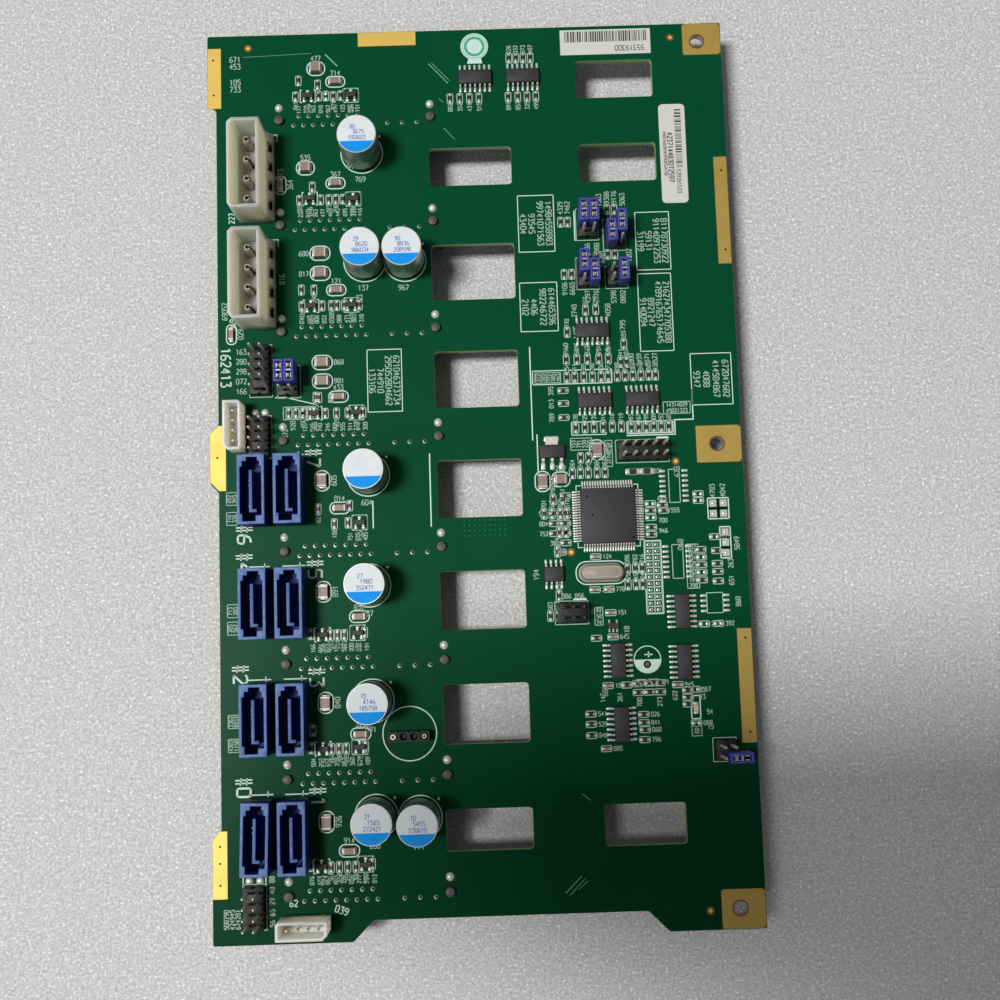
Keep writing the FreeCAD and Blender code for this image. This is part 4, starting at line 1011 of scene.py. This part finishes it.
# ---------------------------------------------------------------- labels
def label_print(shape, count, x, y, height, turn, weight):
    write(shape, plain_number(count), x, y, height, turn, weight, INK, TOP + LABEL_RISE, PRINT_RISE)


def bar(shape, length, width, x, y):
    """A bar that encodes nothing."""
    shape.flat(rectangle(length, width), INK, x, y, TOP + LABEL_RISE, rise=PRINT_RISE)


def barcode_label():
    x, y, low, high = placed("barcode_label")
    shape = Shape()
    shape.add(block(high.x - low.x, high.y - low.y, LABEL_RISE), PAPER, x, y, TOP)
    place = low.x + 1.2
    while place < high.x - 1.2:
        width = random.choice((0.16, 0.16, 0.3, 0.42))
        bar(shape, width, 2.9, place + width / 2, high.y - 1.9)
        place += width + random.choice((0.2, 0.2, 0.36))
    label_print(shape, 8, high.x - 5.5, low.y + 1.6, 1.35, 180, 0.2)
    make("barcode_label_finished", shape, ("barcode_label",))


def side_label():
    x, y, low, high = placed("side_label")
    shape = Shape()
    width, length = high.x - low.x, high.y - low.y
    shape.add(prism(rounded(width, length, 1.1), LABEL_RISE), PAPER, x, y, TOP)
    closed_line(shape, rounded(width - 0.8, length - 0.8, 0.8), 0.1, x, y, material=INK)
    place = y + length / 2 - 1.6
    while place > y - length / 2 + 9.5:
        thick = random.choice((0.14, 0.14, 0.26, 0.36))
        bar(shape, 1.7, thick, x + 1.5, place)
        place -= thick + random.choice((0.18, 0.3))
    label_print(shape, 15, x - 0.7, y - 1.0, 1.25, -90, 0.24)
    label_print(shape, 22, x - 2.1, y, 0.75, -90, 0.13)
    label_print(shape, 9, x + 1.2, y - 7.5, 1.0, -90, 0.17)
    make("side_label_finished", shape, ("side_label",))


def round_sticker():
    x, _, low, high = placed("round_sticker")
    radius = 3.6
    y = high.y - radius
    shape = Shape()
    foot = low.y - y + 0.05
    shape.add(prism([(2.0, foot), (1.5, -2.6), (-1.5, -2.6), (-2.0, foot)], LABEL_RISE), STICKER, x, y, TOP)
    shape.add(lathe([(radius, 0.0), (radius, 0.075)], 48), STICKER, x, y, TOP)
    for inner, outer in ((2.0, 2.7), (3.1, 3.25)):
        shape.add(ring(x, y, inner, outer, 48), STICKER_GREEN, z=TOP + 0.05)
    make("round_sticker_finished", shape, ("round_sticker",))


# ---------------------------------------------------------------- small parts, bare places and their legend
OPEN_HEADERS = ("header_left_ten", "header_left_eight", "header_corner_eight", "header_right_ten",
                "header_right_six")
POWER_HEADERS = ("power_header_upper", "power_header_lower")
PORT_NUMBERS = ((7, 26.0, 118.2), (6, 8.5, 99.4), (5, 26.0, 90.3), (4, 8.4, 92.4), (3, 26.0, 63.6),
                (2, 7.2, 64.8), (1, 25.8, 34.7), (0, 7.8, 37.4))
CELL = 1.9                      # between the small places of a bay's row


def small_box(x, y, side, upright=True, count=3):
    """Legend box round a small two-ended place, with its number beside it."""
    closed_line(LEGEND, rectangle(2.6, 1.45, 0.18), THIN_LINE, x, y, 90 if upright else 0)
    if count and upright:
        number(count, x, y + side * 2.4, 1.05, 90, 0.18)
    elif count:
        number(count, x + side * 2.85, y, 1.05, 0, 0.18)


def small_chip(x, y, upright=True, count=3, filled=True, body=RESISTOR, length=1.6, width=0.8, side=1):
    """A small two-ended part, or its bare pads, in a legend box."""
    x, y = at(x, y)
    turn = 90 if upright else 0
    small_box(x, y, side, upright, count)
    if filled:
        end_capped(SMALL, x, y, length, width, 0.5, turn, body)
    else:
        for end in (-0.75, 0.75):
            a, b = (0, end) if upright else (end, 0)
            BARE_PADS.add(pillow(0.75, 0.85, 0.09), PAD, x + a, y + b, TOP)


def small_chips(places, upright=True, count=3, **options):
    for x, y in places:
        small_chip(x, y, upright, count, **options)


def oval_line(x, y, length, width):
    closed_line(LEGEND, rounded(length, width, min(length, width) * 0.45, 6), 0.28, x, y)


def pad_column(x, y, count):
    """Bare tinned pads above one another."""
    for step in spread(count, CHIP_PITCH):
        BARE_PADS.add(pillow(0.6, 1.5, 0.07), PAD, LEFT + x, FRONT + y + step, TOP, 90)


def square_place(x, y):
    """A square tinned place for a header pin, in its legend square."""
    x, y = at(x, y)
    closed_line(LEGEND, rectangle(2.6, 2.6), 0.3, x, y)
    BARE_PADS.flat(rectangle(1.75, 1.75, 0.15), PAD, x, y)
    BARE_PADS.add(dome(0.5, 0.25, 12), SOLDER, x, y, TOP + PAD_RISE)


def array_column(x, y, rows):
    """Two columns of bare square places in one legend box."""
    pitch = 1.62
    for row in range(rows):
        for side in (-0.95, 0.95):
            a, b = at(x + side, y + row * pitch)
            closed_line(LEGEND, rectangle(1.7, 1.45), 0.16, a, b)
            BARE_PADS.add(pillow(0.95, 0.7, 0.07), PAD, a, b, TOP)
            BARE_PADS.flat(rectangle(0.4, 0.4), TAIL_SHADE, a, b, rise=0.09)
    frame_at(x - 2.1, y - 1.0, x + 2.1, y + (rows - 1) * pitch + 1.0, 0.22)


def hatch(x0, y0, x1, y1, upright=True):
    """A box of tightly set plain numbers."""
    frame_at(x0, y0, x1, y1, 0.18)
    (a0, b0), (a1, b1) = at(x0, y0), at(x1, y1)
    across, deep = (a1 - a0, b1 - b0) if upright else (b1 - b0, a1 - a0)
    count, digits = max(1, int(across / 1.25)), max(2, int(deep / 0.8))
    for step in spread(count, across / count):
        a, b = (step, 0) if upright else (0, step)
        number(digits, (a0 + a1) / 2 + a, (b0 + b1) / 2 + b, 0.95, 90 if upright else 0, 0.19)


def bays():
    """The legend of each bay: its parts' boxes and numbers."""
    for x, y, low, high in solids("chip_capacitors"):
        length, width, _ = sizes(low, high)
        lying = length > width
        oval_line(x, y, length + (1.9 if lying else 1.3), width + (1.3 if lying else 1.9))
        beside = 0
        if width > 2.0 and bay(2, 12.0) < y < bay(2, 22.0):
            beside = -1
        elif width > 2.0 and bay(3, 12.0) < y < bay(3, 22.0):
            beside = 1
        if lying and beside:
            number(3, x + beside * 4.2, y, 1.2)
        elif lying:
            number(3, x, y + width / 2 + 1.6, 1.25)
        else:
            number(3, x + length / 2 + 1.7, y, 1.3, 90)
    for x, y, _, _ in solids("chip_resistors"):
        small_box(x, y, -1)
    for x, y, _, _ in solids("transistors"):
        for side in (-1, 1):
            bracket = ((1.5, -1.7), (1.95, -1.7), (1.95, 1.7), (1.5, 1.7))
            line([(x + side * a, y + b) for a, b in bracket], 0.2)
        number(3, x, y - 3.4, 1.15, 90, 0.19)
    for index in range(BAY_COUNT):
        x, y, _, _ = placed("capacitor_%d" % index)
        closed_line(LEGEND, arc(x, y, 5.35, 0, 352, 44), 0.26)
        LEGEND.flat(arc(x + 4.6, y + 4.4, 0.35, 0, 330, 11), SILK, rise=SILK_RISE)
        number(3, x - 0.5, y - 6.9, 1.3)


def bay_rows():
    """Bare and filled small places between each bay's two transistors, and a row of numbers under them."""
    resistors_at = [solid[:2] for solid in solids("chip_resistors")]
    packages_at = [solid[:2] for solid in solids("transistors")]
    for index in range(BAY_COUNT):
        near = sorted((x, y) for x, y in packages_at if 4.0 < y - bay(index) < 13.0 and x < LEFT + 42)
        (x0, y0), (x1, y1) = near[0], near[-1]
        start = x0 - (2.9 if abs(y0 - y1) < 1.5 else 4.7)
        for step in range(int((x1 + 4.6 - start) / CELL)):
            x = start + CELL * step
            if not any(abs(a - x) < 1.35 and abs(b - y1) < 2.2 for a, b in resistors_at + near):
                small_chip(x - LEFT, y1 - FRONT, count=0, filled=step % 3 != 1)
            number(3, x + 0.5, y1 - 3.5, 1.0, 90, 0.18)
        if index % 2 == 0:
            small_chip(x0 - LEFT - 2.4, y1 - FRONT + 4.3, count=0)
        frame_line(x1 - 1.9, y1 - 1.9, x1 + 1.9, y1 + 1.9, 0.18)


def port_number(digit, x, y):
    """A bold port number that reads downwards, after its number sign."""
    for a in (-0.38, 0.38):
        line([(x - 2.1, y + 1.4 + a), (x + 2.1, y + 1.5 + a)], 0.34)
    for a in (-0.75, 0.75):
        line([(x + a - 0.12, y + 0.55), (x + a + 0.12, y + 2.3)], 0.34)
    write(LEGEND, str(digit), x, y - 1.15, 3.3, -90, 0.5, broad=0.62)


def headers_legend():
    mouldings = [box(node) for node in OPEN_HEADERS] + [solid[2:] for solid in solids("jumper_blocks")]
    for low, high in mouldings:
        frame_line(low.x - 0.35, low.y - 0.35, high.x + 0.35, high.y + 0.35)
    for node in POWER_HEADERS:
        low, high = box(node)
        line([(high.x - 1.0, high.y + 0.5), (high.x + 0.6, high.y + 0.5), (high.x + 0.6, high.y - 1.4)], 0.28)
        number(3, low.x - 1.5, low.y + 1.5, 1.4, 90, 0.22)
        number(3, high.x + 1.4, low.y + 13.0, 1.3, 90, 0.22)
    for digit, x, y in PORT_NUMBERS:
        port_number(digit, *at(x, y))
    for index in range(BAY_COUNT):
        low, high = box("data_port_%d" % index)
        line([(low.x - 0.6, low.y + 1.0), (low.x - 0.6, high.y - 1.5)], 0.22)
        line([(low.x + 0.6, high.y + 0.7), (high.x - 0.4, high.y + 0.7)], 0.3)
        line([(high.x - 1.7, high.y + 0.2), (high.x - 1.7, high.y + 1.5)], 0.25)


def text_boxes():
    """The frames of the setting tables, holding plain numbers only."""
    rows = 4
    for x0, x1, y0, y1 in ((79.5, 88.7, 169.8, 184.7), (79.3, 88.8, 149.0, 161.7), (40.0, 48.7, 129.5, 145.5),
                           (109.5, 118.2, 164.2, 179.4), (109.5, 118.0, 143.0, 163.2),
                           (122.0, 132.3, 128.8, 142.0)):
        frame_at(x0, y0, x1, y1, 0.22)
        (a0, b0), (a1, b1) = at(x0, y0), at(x1, y1)
        room = int((y1 - y0 - 2.0) / 1.15)
        for row in range(rows):
            x = a1 - (row + 0.62) * (a1 - a0) / (rows + 0.2)
            number(room if row < 2 else max(3, room // 2), x, (b0 + b1) / 2, 1.5, -90, 0.24, SILK_SOFT)


def legend_lines():
    for path in (up(81.3, (121.0, 145.0)), up(82.4, (113.0, 122.5)), up(55.2, (100.0, 118.5)),
                 up(40.7, (100.0, 107.0)), up(93.9, (172.4, 180.3)), up(93.9, (159.6, 167.5)),
                 [(122.0, 133.0), (122.0, 125.2), (117.3, 125.2), (117.3, 121.5), (105.0, 121.5)]):
        line([at(*point) for point in path], 0.3)
    for length, width, x, y in ((3.0, 0.7, 114.0, 120.65), (3.3, 0.8, 91.65, 80.6)):
        LEGEND.flat(rectangle(length, width), SILK, *at(x, y), rise=SILK_RISE)
    closed_line(LEGEND, arc(*at(48.6, 49.2), 6.6, 0, 354, 59), 0.26)
    x, y = at(107.8, 65.4)
    closed_line(LEGEND, arc(x, y, 3.3, 0, 350, 35), 0.24)
    LEGEND.flat(arc(x, y, 3.2, 180, 360, 24), SILK, rise=SILK_RISE)
    BARE_PADS.add(ring(x - 0.1, y - 1.2, 0.45, 0.95, 20), DARK, z=TOP + 0.01)
    BARE_PADS.add(dome(0.4, 0.12, 12), RING_BROWN, x - 0.1, y - 1.2, TOP + SILK_RISE)
    line([(x - 0.7, y + 1.2), (x + 1.3, y + 1.2)], 0.3)
    line([(x + 0.3, y + 0.5), (x + 0.3, y + 1.9)], 0.3)
    x, y, low, high = placed("timing_crystal")
    oval_line(x, y, high.x - low.x + 1.2, high.y - low.y + 1.0)
    low, high = box("controller_chip")
    for a, b, sx, sy in ((low.x, low.y, -1, -1), (high.x, low.y, 1, -1), (low.x, high.y, -1, 1),
                         (high.x, high.y, 1, 1)):
        a, b = a + sx * 0.76, b + sy * 0.76
        line([(a, b - sy * 1.2), (a, b), (a - sx * 1.2, b)], 0.2)


def right_side():
    """Small parts of the control circuit, on the board's right half."""
    small_chips(along((90.5, 92.5, 94.8, 97.0, 99.2, 101.0, 103.3, 105.3, 107.3, 109.3, 111.3, 113.0), 136.8))
    small_chips(along((90.5, 93.2, 95.9, 98.8, 101.2), 141.4))
    small_chips([(104.3, 140.3), (105.8, 140.3), (95.9, 154.1), (98.5, 154.2), (105.3, 145.0), (91.0, 148.5)])
    small_chips(along((92.3, 94.6, 96.9, 99.2, 101.5, 103.8), 123.8))
    small_chips(along((106.3, 108.2, 110.1, 112.0, 113.9, 115.8), 123.5))
    small_chips(along((91.0, 93.0, 95.0, 97.2, 99.2), 112.3))
    small_chips(along((106.2, 109.7), 112.3), False, length=3.0, width=1.5)
    array_column(110.3, 77.6, 11)
    for row in range(3):
        small_chip(110.2, 100.6 + row * 1.75, False, 0, filled=row % 2 == 1)
    small_chips(up(110.2, (96.4, 98.15)), False, 0)
    controller_side()
    for row in range(5):
        small_chip(122.3, 84.6 + row * 1.9, False, 0, filled=row % 2 == 0)
    small_chips(along((103.8, 105.8, 107.5), 84.0) + along((103.8, 105.8, 107.5), 88.0))
    small_chips(up(122.3, (104.5, 106.2)), False, 0, filled=False)
    small_chip(113.5, 102.3, False)
    small_chip(125.9, 95.3, False, filled=False)
    small_chips([(96.0, 91.2), (99.0, 83.0), (95.5, 83.0), (99.2, 77.2), (99.5, 71.2), (97.8, 59.3),
                 (115.0, 59.0), (96.8, 44.0)], False, body=CERAMIC)
    small_chips([(93.3, 52.5), (93.3, 50.0), (93.3, 47.3), (106.3, 52.0), (106.3, 50.0), (106.5, 48.3),
                 (106.3, 45.9), (102.4, 59.3), (106.0, 59.8), (109.0, 59.8)], False)
    small_chips([(119.2, 57.7), (119.2, 49.5), (122.3, 73.7), (125.8, 73.7)], False, filled=False)
    small_chips(along((83.5, 85.5, 87.6, 89.3), 102.3) + along((85.9, 88.3), 105.8)
                + along((87.2, 88.9), 97.5) + up(86.5, (92.7, 81.8)))
    chip_places()
    small_chips(along((62.9, 65.4, 67.9, 70.4, 78.0, 80.5, 82.9, 85.2), 211.3), side=-1)
    small_chips(along((78.5, 80.3, 82.2, 84.1), 221.8))
    x, y = at(99.6, 73.9)
    moulded_body(SMALL, x, y, 1.0, 1.3, 1.6, 1.3)
    for a, side in ((-0.95, -1), (0.0, -1), (0.95, -1), (-0.95, 1), (0.95, 1)):
        SMALL.add(gull_wing(0.7, 0.55, 0.4, 90 + 90 * side, 0.14), TIN, x + a, y + side * 0.8, TOP + PAD_RISE)
    for y in (101.2, 100.0, 98.7, 97.4):
        for step in range(9):
            BARE_PADS.add(lathe([(0.32, 0.0), (0.288, 0.03), (0.144, 0.035), (0.128, 0.01)], 10), MASK_LINE,
                          *at(63.5 + CHIP_PITCH * step, y), TOP)


def controller_side():
    """Small places and numbers round the controller and the jumper blocks."""
    small_chips(up(89.4, (133.5, 130.2, 126.6)), False, 0)
    marks(up(86.3, (133.5, 130.2, 126.6)))
    hatch(82.4, 135.6, 88.9, 138.2)
    frame_at(81.8, 135.2, 101.9, 138.7, 0.24)
    marks(along((107.0, 109.0, 111.0, 113.0), 140.9), 90, 1.15, 4)
    marks(along((90.5, 93.2, 95.9, 98.8, 101.2), 144.6))
    frame_at(91.2, 122.0, 99.9, 125.3, 0.22)
    frame_at(105.2, 122.0, 116.8, 125.0, 0.26)
    hatch(114.6, 126.8, 121.4, 129.8, False)
    hatch(90.8, 118.2, 96.2, 121.2)
    small_chips(along((93.2, 95.2), 116.2), count=0)
    hatch(99.4, 113.8, 101.2, 120.4)
    small_chip(88.9, 106.7, False, 0)
    for y in (102.4, 99.8, 97.3):
        small_chips(along((86.0, 88.7), y), False, 0)
    small_chip(88.7, 94.9, False, 0)
    marks(up(83.3, (102.4, 99.8, 97.3)) + [(85.9, 94.9)], 0, 1.05)
    small_chip(87.4, 92.6, False, 0, body=CERAMIC)
    marks(up(107.4, (105.0, 102.4)) + up(113.2, (105.4, 99.8, 97.2)), 0, 1.05)
    small_chip(113.2, 103.6, False, 0)
    marks(up(117.3, (112.0, 93.6)), 90, 1.3)
    hatch(118.6, 82.6, 121.6, 93.6, False)
    small_chips(up(126.3, (91.8, 88.6, 86.6, 84.2)), False, 0)
    marks(up(129.6, (88.5, 84.3)) + along((118.0, 131.0), 79.0), 90, 1.15)
    small_chips(along((84.2, 86.0), 76.8))
    marks(along((88.4, 91.6), 81.6), 0)
    hatch(95.2, 74.2, 97.2, 78.6, False)
    small_chip(95.4, 71.0, False, 0)
    marks([(103.0, 72.5), (97.0, 58.0)], 90, 1.2)
    for y in (57.4, 59.6):
        small_chips(along((105.2, 108.0, 110.6), y), False, 0)
    marks(along((96.4, 100.6), 56.4) + along((105.4, 110.4), 55.0) + [(114.2, 56.4)])
    small_chips(up(117.4, (57.6, 55.9, 54.2)), False, 0)
    marks(up(121.0, (57.6, 55.9)) + up(122.6, (52.2, 48.6)), 0, 1.1, 2)
    frame_at(118.1, 50.6, 120.3, 56.2, 0.3)
    hatch(118.0, 46.4, 120.4, 49.6)
    small_chips(along((90.4, 92.2), 177.4), count=0)
    marks(along((90.4, 92.2), 181.2), 90, 1.2, 4)
    small_chips(along((102.4, 104.3), 180.4), count=0)
    marks([(100.4, 183.0), (102.4, 183.6), (104.3, 183.6), (106.4, 183.0)], 90, 1.2, 4)
    small_chips(along((90.8, 92.7), 163.6), count=0)
    marks(along((90.8, 92.7), 159.9), 90, 1.2, 4)
    marks([(97.0, 170.0), (99.4, 170.0), (100.6, 168.0), (96.6, 157.6), (98.8, 157.6), (103.2, 157.4),
           (105.6, 157.4), (93.0, 154.0), (101.6, 154.0), (107.6, 168.2)], 90, 1.2, 4)
    small_chips(along((102.2, 104.0), 168.6), count=0)
    marks([(93.2, 148.4), (105.2, 149.6)], 90, 1.2, 4)
    x, y, _, _ = placed("memory_chip")
    number(3, x - 4.4, y, 1.3, 90)


def chip_places():
    """The bare places of packages and pins that were left out."""
    for x in (113.5, 119.2):
        for y in (108.4, 89.4):
            pad_column(x, y, 7)
    for y in (108.4, 89.4):
        frame_at(115.1, y - 4.2, 117.8, y + 4.2, THIN_LINE)
    for x in (122.4, 128.1):
        pad_column(x, 78.8, 4)
    frame_at(123.2, 76.35, 127.2, 81.35, THIN_LINE)
    for place in up(125.9, (101.1, 103.7)) + up(128.5, (101.1, 103.7)) + up(128.6, (91.2, 93.8, 96.4)):
        square_place(*place)
    marks([(125.9, 106.9), (128.5, 106.9), (131.4, 93.5)], 90, 1.2, 4, 0.2)


def left_side():
    """Numbers and small places along the board's left edge."""
    marks(up(8.1, [135.8 + row * PITCH for row in range(5)]), 0, 1.3, 3, 0.2)
    marks([(4.2, 142.0)], -90, 2.4, 6, 0.36)
    marks(along((4.0, 6.6), 156.5), 90, 1.3, 5, 0.2)
    for y in (108.5, 103.5, 80.5, 76.2, 53.4, 47.6):
        hatch(4.1, y - 1.6, 6.7, y + 1.6)
    marks(along((3.3, 4.7, 6.1), 6.2), 90, 1.1, 6, 0.2)
    marks(up(14.4, (15.4, 12.8, 10.2, 7.6, 5.0)), 90, 1.15, 2, 0.22)
    frame_at(7.4, 13.9, 12.9, 16.5, 0.24)
    marks([(31.2, 7.6)], -20, 1.6, 3, 0.26)
    marks([(19.6, 9.6)], 0, 1.5, 2, 0.26)
    small_chips(along((20.0, 21.8, 23.6, 25.4), 129.8), count=0)
    frame_at(18.6, 128.2, 26.8, 131.4, THIN_LINE)
    small_chip(27.6, 133.6, count=0)
    marks([(30.6, 133.4), (21.0, 126.6), (19.0, 124.6)], 90, 1.15)
    line([at(27.2, 131.8), at(19.2, 133.9), at(16.6, 133.9)], 0.24)
    marks(up(7.2, (221.65, 223.55, 215.45, 217.35)), 0, 1.4, 3, 0.22, SILK_SOFT)
    marks([(36.6, 194.5), (38.4, 158.6), (7.2, 202.8)], 90, 1.3)
    line([at(9.2, 224.1), at(27.0, 224.7)], 0.1, SCRATCH)


def scratches():
    """Thin pale marks in the mask."""
    for start, end, width in (((57.5, 221.0), (62.5, 215.5), 0.22), ((61.0, 203.5), (63.8, 200.4), 0.14),
                              ((58.3, 221.2), (62.9, 216.2), 0.14), ((59.9, 211.5), (61.1, 210.4), 0.12),
                              ((30.7, 224.3), (33.8, 221.0), 0.34), ((85.5, 9.8), (89.5, 13.8), 0.16),
                              ((86.6, 9.4), (90.4, 13.2), 0.12), ((88.6, 10.6), (91.0, 12.6), 0.1),
                              ((90.3, 33.4), (92.4, 31.7), 0.14)):
        line([at(*start), at(*end)], width, SCRATCH)


# ---------------------------------------------------------------- assembly
circuit_board()
gold_areas()
for index in range(BAY_COUNT):
    softened("drive_receptacle_%d" % index, PEG_GREY, 0.14)
    softened("data_port_%d" % index, PORT_BLUE, 0.1)
receptacle_tails()
dress("receptacle_contacts", GOLD)
dress("receptacle_board_locks", TIN)
port_contacts()
for node in POWER_HEADERS:
    softened(node, CREAM, 0.3, 3)
power_pins()
capacitors()
for node in (*OPEN_HEADERS, "jumper_blocks"):
    softened(node, BLACK, 0.1)
softened("jumper_shunts", SHUNT_BLUE, 0.12)
shunt_clips()
header_pins()
for node in ("service_header_front", "service_header_side"):
    softened(node, WHITE, 0.12)
service_pins()
socket_strip()
packages()
transistors()
chips()
crystal()
lamp()
barcode_label()
side_label()
round_sticker()
bays()
bay_rows()
headers_legend()
text_boxes()
legend_lines()
right_side()
left_side()
scratches()
make("board_legend", LEGEND)
make("bare_pads", BARE_PADS)
make("small_parts", SMALL)


# ---------------------------------------------------------------- stage
def link(name, data, place=(0.0, 0.0, 0.0), angles=(0.0, 0.0, 0.0)):
    """An object of the stage; its place is in metres and its angles in degrees."""
    thing = bpy.data.objects.new(name, data)
    thing.location = place
    thing.rotation_euler = [math.radians(angle) for angle in angles]
    bpy.context.scene.collection.objects.link(thing)
    return thing


def stage_mesh(name, points, faces, material):
    mesh = bpy.data.meshes.new(name)
    mesh.from_pydata(points, [], faces)
    mesh.materials.append(material)
    return mesh


def stage_floor():
    side = 6.0
    material = finish("table_top", (204, 202, 201), 0.4, vary=0.3, patch=0.75, bump=1.0, grain=0.45,
                      depth=0.28, sheen_spots=(0.7, (252, 252, 252), 0.41))
    corners = [(a, b, 0) for a, b in rectangle(side, side)]
    table = link("table", stage_mesh("table", corners, [(0, 1, 2, 3)], material))


def shade_card():
    """What stood between the lamp and one corner of the board."""
    outline = [(-0.02, -0.054), (-0.02, -0.105), (0.07, -0.145), (0.12, -0.28), (0.32, -0.28), (0.32, -0.054)]
    material = finish("shade_card", (22, 21, 22), 0.6)
    material.node_tree.nodes["Principled BSDF"].inputs["Alpha"].default_value = 0.58
    mesh = stage_mesh("shade_card", *prism(outline, 0.002), material)
    card = link("shade_card", mesh, (-0.123, -0.009, 0.3))
    card.visible_camera = False


def area_lamp(name, energy, length, width, place, angles):
    data = bpy.data.lights.new(name, "AREA")
    data.shape = "RECTANGLE"
    data.size, data.size_y = length, width
    data.energy = energy
    link(name, data, place, angles)


def world_light():
    world = bpy.data.worlds.new("room")
    world.use_nodes = True
    bpy.context.scene.world = world
    background = world.node_tree.nodes["Background"]
    background.inputs["Color"].default_value = (0.94, 0.97, 1.0, 1.0)
    background.inputs["Strength"].default_value = 0.165


def camera():
    data = bpy.data.cameras.new("camera")
    data.sensor_width = 36.0
    data.lens = 43.2
    data.clip_start = 0.01
    bpy.context.scene.camera = link("camera", data, (0.00344, -0.0401, 0.31172), (5.975, -0.22, -1.806))


stage_floor()
area_lamp("key", 376.0, 1.55, 0.95, (-2.46, -0.18, 6.0), (1.7, -22.3, 0.0))
shade_card()
area_lamp("fill", 20.0, 1.5, 1.5, (-2.0, -2.3, 4.0), (37.3, 0.0, -41.0))
world_light()
camera()
bpy.context.scene.view_settings.view_transform = "Standard"
